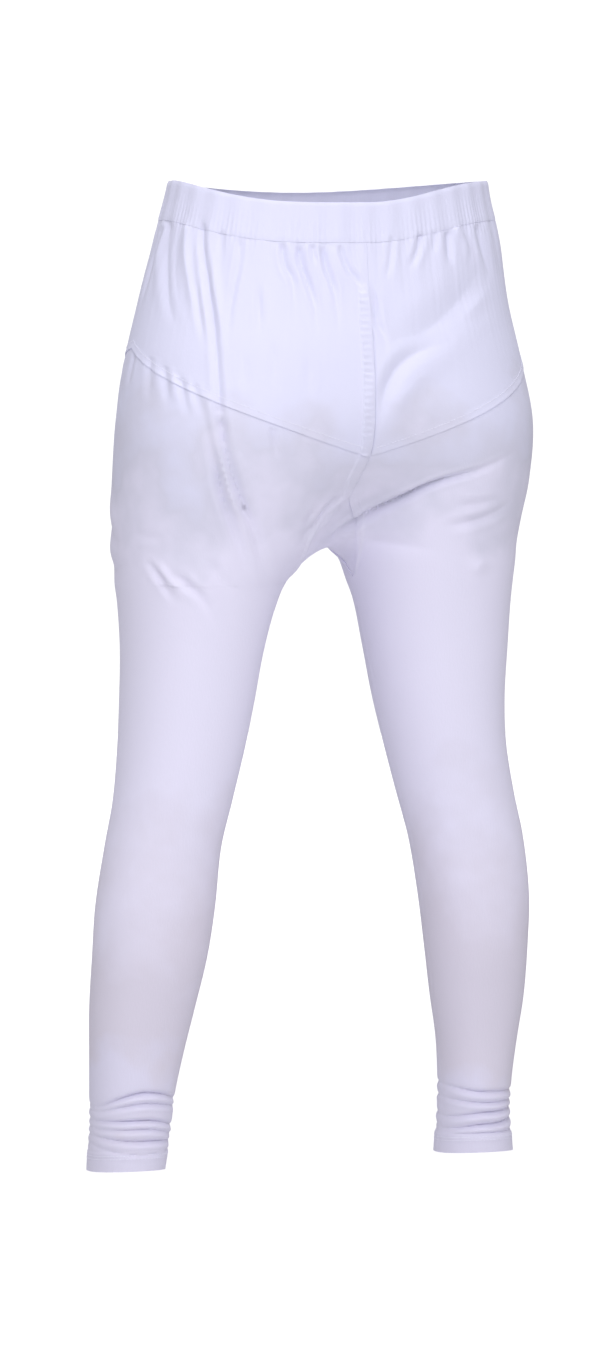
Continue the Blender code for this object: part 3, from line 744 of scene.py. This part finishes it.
def streaks(share, below):
    """Height of the faint upright streaks that run down the yoke."""
    turn = 2.0 * math.pi * share
    wave = sum(np.sin(count * turn + lean * below / BAND_HEIGHT + lean) for count, lean in STREAKS)
    shown = smooth_step(0.0, STREAK_START, below) * smooth_step(STREAK_LENGTH, STREAK_FADE, below)
    return STREAK_DEPTH * wave * shown


def groove(gap):
    """How far the cloth turns in at a distance from its seamed edge."""
    return -GROOVE_DEPTH * np.exp(-((gap / GROOVE_WIDTH) ** 2))


def welt(gap, width, lift):
    """A raised strip beside a seam, where the allowance lies under the cloth."""
    return lift * smooth_step(width + WELT_EDGE / 2, width - WELT_EDGE / 2, gap)


def yoke_lift(side, share, z, points):
    """Gathers, streaks, seam allowance, ticks and grooves of the yoke."""
    gap = side * (points[..., 0] - middle_seam(points[..., 1], z))
    behind = share > 0.5
    shown = smooth_step(MIDDLE_WELT_TOP, MIDDLE_WELT_TOP - MIDDLE_WELT_FADE, z)
    below = band_foot(side, share) - z
    lift = gather_lift(share, below) + ripple_lift(share, below)
    up = z - yoke_foot(share)
    lift = lift + streaks(share, below) + groove(gap) + FOOT_GROOVE * groove(up)
    lift = lift + welt(up, FOOT_WELT, FOOT_WELT_LIFT) + FOOT_EDGE_LIFT * np.exp(-((up / FOOT_EDGE) ** 2))
    if side > 0:
        turn = 2 * math.pi * z / TICK_SPACING
        ticks = TICK_LIFT * np.cos(turn) * smooth_step(GROOVE_WIDTH, TICK_START, gap)
        strip = welt(gap, MIDDLE_WELT, 1.0) * shown
        return lift + strip * (MIDDLE_WELT_LIFT + ticks * behind)
    return lift - SEAM_DIP * np.exp(-gap / SEAM_DIP_WIDTH) * shown * behind


def leg_lift(side, share, z, points):
    """Rings, seam allowance and grooves of the leg."""
    half = half_form(side)
    lift = ring_lift(side, points)
    row = half.length(z)
    gap = np.minimum(share, 1.0 - share) * row
    above = smooth_step(ARCH_END, ARCH_END + ARCH_WELT_FADE, z)
    under = yoke_foot(share) - z
    lift = lift + groove(gap) + FOOT_GROOVE * groove(under) - UNDER_EDGE_DIP * np.exp(-under / UNDER_EDGE)
    width = GUSSET_WELT + (MIDDLE_WELT - GUSSET_WELT) * smooth_step(*WELT_WIDENS, z)
    raised = MIDDLE_WELT_LIFT if side > 0 else MIDDLE_WELT_LIFT * smooth_step(*RIGHT_WELT_START, z)
    return lift + welt(gap, width, raised) * above


def cloth(side, share, z, wall, proud, extra):
    """Outer and inner points of one piece's wall at each share and height."""
    share, z = np.broadcast_arrays(np.asarray(share, float), np.asarray(z, float))
    points = half_form(side).at(share, z)
    normals = outward(points)
    strength = bpy.context.scene.leggings_sizes.fold_strength
    lift = strength * board_lift(points, normals) + proud + extra(side, share, z, points)
    wall = np.broadcast_to(np.asarray(wall, float), share.shape)
    return points + normals * lift[..., None], points + normals * (lift - wall)[..., None]


def rows_down(count, length, edge):
    """Steps from 0 to 1, crowded at both ends so that the seams come out crisp."""
    ends = edge / length
    inside = np.linspace(ends[-1], 1.0 - ends[-1], count - 2 * len(edge) + 2)
    return np.concatenate([ends[:-1], inside, 1.0 - ends[-2::-1]])


def edged(count, length):
    """Shares from 0 to 1, crowded at both edges and closer behind, where the most folds are."""
    ends = EDGE_STEPS / length
    even = np.linspace(0.0, 1.0, count - 2 * len(EDGE_STEPS) + 2)
    inside = np.interp(even, [0.0, COLUMNS_IN_FRONT, 1.0], [ends[-1], 0.5, 1.0 - ends[-1]])
    return np.concatenate([ends[:-1], inside, 1.0 - ends[-2::-1]])


def add_object(name, verts, faces, material):
    """Makes one piece from points and faces, riding on the garment."""
    mesh = bpy.data.meshes.new(name)
    mesh.from_pydata(np.asarray(verts).tolist(), [], [tuple(int(i) for i in f) for f in faces])
    net = bmesh.new()
    net.from_mesh(mesh)
    bmesh.ops.remove_doubles(net, verts=net.verts, dist=0.01 * MM)
    bmesh.ops.recalc_face_normals(net, faces=net.faces)
    net.to_mesh(mesh)
    net.free()
    mesh.shade_smooth()
    mesh.set_sharp_from_angle(angle=math.radians(60))
    mesh.materials.append(material)
    obj = bpy.data.objects.new(name, mesh)
    bpy.context.scene.collection.objects.link(obj)
    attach(obj, "root")
    return obj


def wall_faces(rows, columns, ring=False, closed_from=None):
    """Faces of a wall whose outer points come first and inner points after, row by row."""
    half = rows * columns
    faces = []
    for i in range(rows - 1):
        for j in range(columns if ring else columns - 1):
            a, b = i * columns + j, i * columns + (j + 1) % columns
            c, d = a + columns, b + columns
            faces += [(a, b, d, c), (half + a, half + c, half + d, half + b)]
    for j in range(columns if ring else columns - 1):
        a, b = j, (j + 1) % columns
        c, d = a + (rows - 1) * columns, b + (rows - 1) * columns
        faces += [(a, half + a, half + b, b), (c, d, half + d, half + c)]
    if not ring:
        open_rows = rows - 1 if closed_from is None else closed_from
        for i in range(open_rows):
            for j in (0, columns - 1):
                a, c = i * columns + j, (i + 1) * columns + j
                faces.append((a, c, half + c, half + a))
    return faces


def wall_points(outer, inner):
    """All the outer points of a wall and then all the inner ones."""
    return np.concatenate([outer.reshape(-1, 3), inner.reshape(-1, 3)])


def start_material(name):
    """A new material, with its node tree and its shader."""
    material = bpy.data.materials.new(name)
    material.use_nodes = True
    return material, material.node_tree, material.node_tree.nodes["Principled BSDF"]


def feed(node, inputs):
    """Sets each input of a node to its value, or links it from an output."""
    for key, value in inputs.items():
        if isinstance(value, bpy.types.NodeSocket):
            node.id_data.links.new(value, node.inputs[key])
        else:
            node.inputs[key].default_value = value


def add_node(tree, kind, inputs=(), **settings):
    """A new shader node with its own settings and inputs."""
    node = tree.nodes.new(kind)
    for key, value in settings.items():
        setattr(node, key, value)
    feed(node, dict(inputs))
    return node


def noise(tree, place, scale, detail=2.0):
    """The grey level of a noise texture."""
    inputs = {"Vector": place, "Scale": scale, "Detail": detail}
    return add_node(tree, "ShaderNodeTexNoise", inputs).outputs["Fac"]


def jersey(name):
    """Fine white cotton knit: a bluish white with painted shade by height down the leg (seat, calves, hems
    and waist darker, thighs lighter), with a faint upright grain.
    """
    colours = bpy.context.scene.leggings_colours
    material, tree, shader = start_material(name)
    place = add_node(tree, "ShaderNodeTexCoord").outputs["Object"]
    axes = add_node(tree, "ShaderNodeSeparateXYZ", {0: place})
    span = {"Value": axes.outputs["Z"], "From Min": PAINTED_SHADE_BOTTOM, "From Max": PAINTED_SHADE_TOP}
    place_up = add_node(tree, "ShaderNodeMapRange", span).outputs["Result"]
    cloudy = noise(tree, place, 14.0, 3.0)
    inputs = {0: cloudy, 1: TONE_DRIFT, 2: place_up}
    drift = add_node(tree, "ShaderNodeMath", inputs, operation="MULTIPLY_ADD")
    # Painted shade: this ramp darkens the seat, calves, hems and waist and lightens the thighs by height
    tint = add_node(tree, "ShaderNodeValToRGB", {"Fac": drift.outputs[0]})
    ramp = tint.color_ramp
    ramp.elements.remove(ramp.elements[0])
    ramp.elements[0].color = (*colours.waist_painted_shade, 1.0)
    for tone, stop in PAINTED_SHADE_TONES:
        ramp.elements.new(stop).color = (*getattr(colours, tone), 1.0)
    upright = add_node(tree, "ShaderNodeMapping", {"Vector": place, "Scale": (1.0, 1.0, 0.22)}).outputs[0]
    grain = noise(tree, upright, 900.0)
    fuzz = noise(tree, place, 110.0, 4.0)
    relief = add_node(tree, "ShaderNodeMath", {0: fuzz, 1: 1.6, 2: grain}, operation="MULTIPLY_ADD")
    height = relief.outputs[0]
    bump = add_node(tree, "ShaderNodeBump", {"Strength": 0.35, "Distance": 0.0003, "Height": height})
    shine = add_node(tree, "ShaderNodeMapRange", {"Value": cloudy, "To Min": 0.78, "To Max": 0.92})
    feed(shader, {"Base Color": tint.outputs["Color"], "Normal": bump.outputs["Normal"]})
    feed(shader, {"Roughness": shine.outputs["Result"], "Specular IOR Level": 0.25})
    feed(shader, {"Sheen Weight": 0.12, "Sheen Roughness": 0.5})
    return material


def thread(name):
    """Sewing thread, a touch whiter and smoother than the cloth, with its twist in the bump."""
    material, tree, shader = start_material(name)
    place = add_node(tree, "ShaderNodeTexCoord").outputs["Object"]
    twist = noise(tree, place, 1600.0)
    shine = add_node(tree, "ShaderNodeMapRange", {"Value": twist, "To Min": 0.5, "To Max": 0.7})
    bump = add_node(tree, "ShaderNodeBump", {"Strength": 0.3, "Distance": 0.0001, "Height": twist})
    colour = (*bpy.context.scene.leggings_colours.thread, 1.0)
    feed(shader, {"Base Color": colour, "Specular IOR Level": 0.35})
    feed(shader, {"Roughness": shine.outputs["Result"], "Normal": bump.outputs["Normal"]})
    return material


def make_waistband():
    """One elasticated casing all round, thicker than the cloth below it."""
    sizes = bpy.context.scene.leggings_sizes
    share = np.linspace(0.0, 1.0, BAND_COLUMNS)
    outer, inner = [], []

    def extra(side, share, z, points):
        foot = band_foot(side, share)
        roll = -WAIST_ROLL * np.exp(-((waist_height(side, share) - z) / WAIST_ROLL_WIDTH) ** 2)
        return gather_lift(share, foot - z) + ripple_lift(share, foot - z) + groove(z - foot) + roll

    for down in np.linspace(0.0, 1.0, BAND_ROWS):
        sides = []
        for side in (1, -1):
            foot = band_foot(side, share) + SEAM_GAP / 2
            z = waist_height(side, share) * (1 - down) + foot * down
            sides.append(cloth(side, share, z, sizes.band_wall, BAND_PROUD, extra))
        for target, left, right in zip((outer, inner), *sides):
            front = (left[:1] + right[:1]) / 2
            back = (left[-1:] + right[-1:]) / 2
            target.append(np.concatenate([front, left[1:-1], back, right[-2:0:-1]]))
    faces = wall_faces(len(outer), len(outer[0]), ring=True)
    verts = np.concatenate(outer + inner)
    obj = add_object("waistband_cloth", verts, faces, jersey("waistband_jersey"))
    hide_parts("waistband")


def make_yoke(side):
    """One half of the seat yoke, gathered into the band and pointed at the middle of the back."""
    sizes = bpy.context.scene.leggings_sizes
    name = "yoke_left" if side > 0 else "yoke_right"
    share = edged(YOKE_COLUMNS, half_form(side).length(YOKE_SIDE))
    tall = -YOKE_SIDE - BAND_HEIGHT
    top, foot = band_foot(side, share) - SEAM_GAP / 2, yoke_foot(share) + SEAM_GAP / 2
    down = rows_down(YOKE_ROWS, tall, EDGE_STEPS[:YOKE_EDGE_ROWS])[:, None]
    z = top * (1 - down) + foot * down
    outer, inner = cloth(side, share, z, sizes.wall, 0.0, yoke_lift)
    faces = wall_faces(*outer.shape[:2])
    obj = add_object(name + "_cloth", wall_points(outer, inner), faces, jersey(name + "_jersey"))
    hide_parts(name)


def arch_levels(side):
    """Heights of the level rows beside the gusset, with a row at each of its corners on that side."""
    corners = [c for c in GUSSET_CORNERS if side * c.x >= 0 or c == GUSSET_CORNERS[0]]
    marks = sorted((float(underside(c.x * MM, c.y * MM)) for c in corners), reverse=True)
    marks = [LEVEL_START] + marks[:-1] + [marks[-1] - BELOW_CORNER]
    arch = [LEVEL_START]
    for high, low in zip(marks[:-1], marks[1:]):
        rows = math.ceil((high - low) / ARCH_ROW)
        arch += list(np.linspace(high, low, rows + 1)[1:])
    return np.array(arch)


def make_leg(side):
    """One leg panel, wrapped round and joined to itself at the inseam below the gusset."""
    sizes = bpy.context.scene.leggings_sizes
    name = "leg_left" if side > 0 else "leg_right"
    share = edged(LEG_COLUMNS, half_form(side).length(LEVEL_START))
    arch = arch_levels(side)
    hem_top = HEM_BOTTOM + HEM_HEIGHT
    levels = [
        arch,
        np.linspace(arch[-1], THIGH_END, THIGH_ROWS)[1:],
        np.linspace(THIGH_END, ANKLE_START, SHANK_ROWS)[1:],
        np.linspace(ANKLE_START, hem_top, ANKLE_ROWS)[1:],
        np.linspace(hem_top - HEM_STEP / 2, HEM_BOTTOM, HEM_ROWS),
    ]
    down = rows_down(LEG_TOP_ROWS, LEG_TOP_HEIGHT, EDGE_STEPS[:LEG_TOP_EDGE_ROWS])[:-1, None]
    z = (yoke_foot(share) - SEAM_GAP / 2) * (1 - down) + LEVEL_START * down
    first_closed = len(z) + len(arch) - 1
    z = np.concatenate([z] + [np.broadcast_to(run[:, None], (len(run), len(share))) for run in levels])
    z = z + hem_rise(share, z)
    in_hem = smooth_step(hem_top + HEM_EDGE[0], hem_top - HEM_EDGE[1], z - hem_rise(share, z))
    wall = sizes.wall + (sizes.hem_wall - sizes.wall) * in_hem
    outer, inner = cloth(side, share, z, wall, HEM_PROUD * in_hem, leg_lift)
    for target in (outer, inner):
        target[first_closed:, -1] = target[first_closed:, 0]
    faces = wall_faces(*outer.shape[:2], closed_from=first_closed)
    obj = add_object(name + "_cloth", wall_points(outer, inner), faces, jersey(name + "_jersey"))
    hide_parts(name)


def gusset_rows():
    """Both ends of each row across the gusset, from its back corner to its front corner.

    The ends lie a little inside the line of the seam, and every corner is the end of a row.
    """
    corners, out = gusset_edges()
    before = np.roll(out, 1, axis=0)
    spread = 1.0 + (out * before).sum(axis=1, keepdims=True)
    corners = corners - GUSSET_INSET * (out + before) / spread
    back, left_back, left, front, right, right_back = corners
    lines = (np.array([back, left_back, left, front]), np.array([back, right_back, right, front]))
    walks = [walk / walk[-1] for walk in map(run_lengths, lines)]
    rows_per_walk = np.linalg.norm(back - front) / GUSSET_ROW
    stops = np.unique(np.concatenate(walks))
    marks = [stops[:1]]
    for low, high in zip(stops[:-1], stops[1:]):
        marks.append(np.linspace(low, high, math.ceil((high - low) * rows_per_walk) + 1)[1:])
    marks = np.concatenate(marks)
    return [read_along(marks, walk, line) for walk, line in zip(walks, lines)]


def make_gusset():
    """The piece between the legs."""
    sizes = bpy.context.scene.leggings_sizes
    left_ends, right_ends = gusset_rows()
    across = np.linspace(0.0, 1.0, GUSSET_COLUMNS + 1)[None, :, None]
    plan = left_ends[:, None] * (1 - across) + right_ends[:, None] * across
    points = np.concatenate([plan, underside(plan[..., 0], plan[..., 1])[..., None]], axis=-1)
    normals = outward(points)
    edge = np.clip(-outside_gusset(plan[..., 0], plan[..., 1]), 0.0, None)
    lift = (sizes.fold_strength * board_lift(points, normals) + groove(edge))[..., None]
    outer, inner = points + normals * lift, points + normals * (lift - sizes.wall)
    faces = wall_faces(*plan.shape[:2])
    obj = add_object("gusset_cloth", wall_points(outer, inner), faces, jersey("gusset_jersey"))
    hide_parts("gusset")


def stitch_run(points, normals, sizes):
    """Points and faces of a row of stitches laid along a line on the cloth."""
    along = run_lengths(points)
    pitch = sizes.stitch_length + sizes.stitch_gap
    count = int(along[-1] / pitch)
    radius = sizes.thread_width / 2
    verts, faces = [], []
    for k in range(count):
        spots = k * pitch + STITCH_SPOTS * sizes.stitch_length
        spine = read_along(spots, along, points)
        up = read_along(spots, along, normals)
        up /= np.linalg.norm(up, axis=1, keepdims=True)
        spine = spine + up * STITCH_HEIGHTS[:, None] * radius
        run = spine[-1] - spine[0]
        run /= np.linalg.norm(run)
        beside = np.cross(run, up)
        base = len(verts)
        for s, b, u in zip(spine, beside, up):
            for turn in np.linspace(0, 2 * math.pi, THREAD_SIDES, endpoint=False):
                verts.append(s + radius * (math.cos(turn) * b + math.sin(turn) * u))
        for ring in range(3):
            start = base + ring * THREAD_SIDES
            for j in range(THREAD_SIDES):
                a, b = start + j, start + (j + 1) % THREAD_SIDES
                faces.append((a, b, b + THREAD_SIDES, a + THREAD_SIDES))
        faces.append(tuple(base + j for j in reversed(range(THREAD_SIDES))))
        faces.append(tuple(base + 3 * THREAD_SIDES + j for j in range(THREAD_SIDES)))
    return verts, faces


def add_stitching(name, runs):
    """One object for all the stitch rows of a kind."""
    verts, faces = [], []
    for points, normals in runs:
        more, shapes = stitch_run(points, normals, bpy.context.scene.leggings_sizes)
        faces += [tuple(i + len(verts) for i in face) for face in shapes]
        verts += more
    return add_object(name, verts, faces, thread(name + "_thread"))


def sewn_line(side, share, z, extra, proud=0.0):
    """Points and normals on one piece's outer face."""
    outer, _ = cloth(side, share, z, 0.0, proud, extra)
    return outer, outward(half_form(side).at(share, z))


def make_stitching():
    """Topstitching above the yoke's lower seam and round the hems."""
    share = np.linspace(STITCH_ENDS, 1.0 - STITCH_ENDS, STITCH_POINTS)
    yoke_rows, hem_rows = [], []
    for side in (1, -1):
        yoke_rows.append(sewn_line(side, share, yoke_foot(share) + FOOT_WELT, yoke_lift))
        for below in HEM_STITCH_ROWS:
            level = np.full(share.shape, HEM_BOTTOM + HEM_HEIGHT - HEM_STITCH_DOWN - below)
            hem_rows.append(sewn_line(side, share, level + hem_rise(share, level), leg_lift, HEM_PROUD))
    add_stitching("yoke_topstitching", yoke_rows)
    add_stitching("hem_stitching", hem_rows)


def stage_material(name, colour, glow):
    """Pale matt studio surface with a faint mottle, that grows whiter to the eye away from the middle."""
    material, tree, shader = start_material(name)
    place = add_node(tree, "ShaderNodeTexCoord").outputs["Object"]
    tint = add_node(tree, "ShaderNodeValToRGB", {"Fac": noise(tree, place, 3.0)})
    tint.color_ramp.elements[0].color = (*[0.985 * c for c in colour], 1.0)
    tint.color_ramp.elements[1].color = (*colour, 1.0)
    away = add_node(tree, "ShaderNodeVectorMath", {0: place}, operation="LENGTH")
    span = {"Value": away.outputs["Value"], "From Min": 0.5, "From Max": 4.0, "To Min": glow, "To Max": 1.0}
    fade = add_node(tree, "ShaderNodeMapRange", span, interpolation_type="SMOOTHSTEP")
    seen = add_node(tree, "ShaderNodeLightPath").outputs["Is Camera Ray"]
    shown = add_node(tree, "ShaderNodeMath", {0: fade.outputs["Result"], 1: seen}, operation="MULTIPLY")
    feed(shader, {"Base Color": tint.outputs["Color"], "Roughness": 0.9})
    feed(shader, {"Emission Color": WHITE, "Emission Strength": shown.outputs[0]})
    return material


def add_area_light(name, turn, rise, away, size, power):
    """A soft square light aimed at the middle of the garment."""
    data = bpy.data.lights.new(name, "AREA")
    data.size = size
    data.energy = power
    data.color = COOL_WHITE
    obj = bpy.data.objects.new(name, data)
    turn, rise = math.radians(turn), math.radians(rise)
    toward = Vector((math.sin(turn) * math.cos(rise), -math.cos(turn) * math.cos(rise), math.sin(rise)))
    obj.location = LIT_POINT + away * toward
    obj.rotation_euler = (-toward).to_track_quat("-Z", "Y").to_euler()
    bpy.context.scene.collection.objects.link(obj)


def make_stage():
    """Floor, light, world and the camera behind and to the left."""
    scene = bpy.context.scene
    net = bmesh.new()
    bmesh.ops.create_circle(net, cap_ends=True, segments=96, radius=FLOOR_RADIUS)
    mesh = bpy.data.meshes.new("floor")
    net.to_mesh(mesh)
    net.free()
    mesh.materials.append(stage_material("floor_paint", scene.leggings_colours.floor, FLOOR_GLOW))
    floor = bpy.data.objects.new("floor", mesh)
    floor.location = (0.0, 0.0, FLOOR_HEIGHT)
    scene.collection.objects.link(floor)
    world = bpy.data.worlds.new("studio")
    scene.world = world
    world.use_nodes = True
    tree = world.node_tree
    fill = tree.nodes["Background"]
    feed(fill, {"Color": (*COOL_WHITE, 1.0), "Strength": FILL_STRENGTH})
    clear = add_node(tree, "ShaderNodeBackground", {"Color": WHITE, "Strength": BACKDROP_STRENGTH})
    seen = add_node(tree, "ShaderNodeLightPath").outputs["Is Camera Ray"]
    mix = add_node(tree, "ShaderNodeMixShader", {0: seen, 1: fill.outputs[0], 2: clear.outputs[0]})
    feed(tree.nodes["World Output"], {"Surface": mix.outputs[0]})
    for light in STUDIO_LIGHTS:
        add_area_light(*light)
    data = bpy.data.cameras.new("camera")
    data.lens = LENS
    data.sensor_width = SENSOR
    data.clip_end = VIEW_END
    camera = bpy.data.objects.new("camera", data)
    camera.location = EYE
    camera.rotation_euler = (TARGET - EYE).to_track_quat("-Z", "Y").to_euler()
    scene.collection.objects.link(camera)
    scene.camera = camera
    scene.view_settings.view_transform = "Standard"


class LeggingsSizes(bpy.types.PropertyGroup):
    """Sizes of the cloth, gathers and sewing."""

    wall: bpy.props.FloatProperty(
        name="Cloth", description="Thickness of the knitted cloth", default=0.0012, unit="LENGTH"
    )
    band_wall: bpy.props.FloatProperty(
        name="Waistband", description="Thickness of the elasticated casing", default=0.0026, unit="LENGTH"
    )
    hem_wall: bpy.props.FloatProperty(
        name="Hem", description="Thickness of the turned-up hem", default=0.0022, unit="LENGTH"
    )
    fold_strength: bpy.props.FloatProperty(
        name="Folds", description="Depth of the drawn folds", default=1.0, min=0.0, max=2.0, subtype="FACTOR"
    )
    gather_depth: bpy.props.FloatProperty(
        name="Gathers", description="Height of the gathers below the band", default=0.0007, unit="LENGTH"
    )
    stitch_length: bpy.props.FloatProperty(
        name="Stitch", description="Length of one stitch", default=0.0024, unit="LENGTH"
    )
    stitch_gap: bpy.props.FloatProperty(
        name="Stitch gap", description="Gap between two stitches", default=0.0009, unit="LENGTH"
    )
    thread_width: bpy.props.FloatProperty(
        name="Thread", description="Thickness of the sewing thread", default=0.0005, unit="LENGTH"
    )


class LeggingsColours(bpy.types.PropertyGroup):
    """Colours of the cloth, whose waist, seat, thigh, calf and hem tones are painted shade by height, of the
    thread and of the floor.
    """

    # The cloth tones are painted shade by height: waist, seat, calves and hems darker, thighs lighter, the
    # calves also pinker where skin showed through
    waist_painted_shade: bpy.props.FloatVectorProperty(
        name="Waist", description="Cloth at the waist", default=(0.745, 0.75, 0.90), subtype="COLOR"
    )
    seat_painted_shade: bpy.props.FloatVectorProperty(
        name="Seat", description="Cloth at the seat", default=(0.695, 0.69, 0.805), subtype="COLOR"
    )
    thigh_painted_light: bpy.props.FloatVectorProperty(
        name="Thighs", description="Cloth over the thighs", default=(0.81, 0.79, 0.925), subtype="COLOR"
    )
    hem_painted_shade: bpy.props.FloatVectorProperty(
        name="Hems", description="Cloth at the hems", default=(0.74, 0.72, 0.85), subtype="COLOR"
    )
    calf_painted_shade_and_skin_tint: bpy.props.FloatVectorProperty(
        name="Calves", description="Cloth at the calves", default=(0.71, 0.675, 0.765), subtype="COLOR"
    )
    thread: bpy.props.FloatVectorProperty(
        name="Thread", description="Sewing thread", default=(0.84, 0.84, 0.94), subtype="COLOR"
    )
    floor: bpy.props.FloatVectorProperty(
        name="Floor", description="Studio floor", default=(0.93, 0.93, 0.93), subtype="COLOR"
    )


class LEGGINGS_OT_waistband(bpy.types.Operator):
    """Builds the elasticated waistband"""

    bl_idname = "leggings.waistband"
    bl_label = "Waistband"

    def execute(self, context):
        make_waistband()
        return {"FINISHED"}


class LEGGINGS_OT_yokes(bpy.types.Operator):
    """Builds the two gathered halves of the seat yoke"""

    bl_idname = "leggings.yokes"
    bl_label = "Yokes"

    def execute(self, context):
        for side in (1, -1):
            make_yoke(side)
        return {"FINISHED"}


class LEGGINGS_OT_legs(bpy.types.Operator):
    """Builds both leg panels with their rings at the ankle"""

    bl_idname = "leggings.legs"
    bl_label = "Legs"

    def execute(self, context):
        for side in (1, -1):
            make_leg(side)
        return {"FINISHED"}


class LEGGINGS_OT_gusset(bpy.types.Operator):
    """Builds the gusset between the legs"""

    bl_idname = "leggings.gusset"
    bl_label = "Gusset"

    def execute(self, context):
        make_gusset()
        return {"FINISHED"}


class LEGGINGS_OT_stitching(bpy.types.Operator):
    """Sews the topstitching of yoke and hems"""

    bl_idname = "leggings.stitching"
    bl_label = "Stitching"

    def execute(self, context):
        make_stitching()
        return {"FINISHED"}


class LEGGINGS_OT_stage(bpy.types.Operator):
    """Sets the floor, the light and the camera"""

    bl_idname = "leggings.stage"
    bl_label = "Stage"

    def execute(self, context):
        make_stage()
        return {"FINISHED"}


OPERATORS = (
    LEGGINGS_OT_waistband,
    LEGGINGS_OT_yokes,
    LEGGINGS_OT_legs,
    LEGGINGS_OT_gusset,
    LEGGINGS_OT_stitching,
    LEGGINGS_OT_stage,
)


class LEGGINGS_PT_panel(bpy.types.Panel):
    """Lists the sizes, the colours and the steps"""

    bl_label = "Leggings"
    bl_space_type = "VIEW_3D"
    bl_region_type = "UI"
    bl_category = "Leggings"

    def draw(self, context):
        for group in (context.scene.leggings_sizes, context.scene.leggings_colours):
            box = self.layout.box()
            for name in group.__annotations__:
                box.prop(group, name)
        for step in OPERATORS:
            self.layout.operator(step.bl_idname)


CLASSES = (LeggingsSizes, LeggingsColours, *OPERATORS, LEGGINGS_PT_panel)


def register():
    for kind in CLASSES:
        bpy.utils.register_class(kind)
    bpy.types.Scene.leggings_sizes = bpy.props.PointerProperty(type=LeggingsSizes)
    bpy.types.Scene.leggings_colours = bpy.props.PointerProperty(type=LeggingsColours)


def unregister():
    del bpy.types.Scene.leggings_sizes
    del bpy.types.Scene.leggings_colours
    for kind in reversed(CLASSES):
        bpy.utils.unregister_class(kind)


def main():
    register()
    bpy.ops.leggings.waistband()
    bpy.ops.leggings.yokes()
    bpy.ops.leggings.legs()
    bpy.ops.leggings.gusset()
    bpy.ops.leggings.stitching()
    bpy.ops.leggings.stage()


if __name__ == "__main__":
    main()
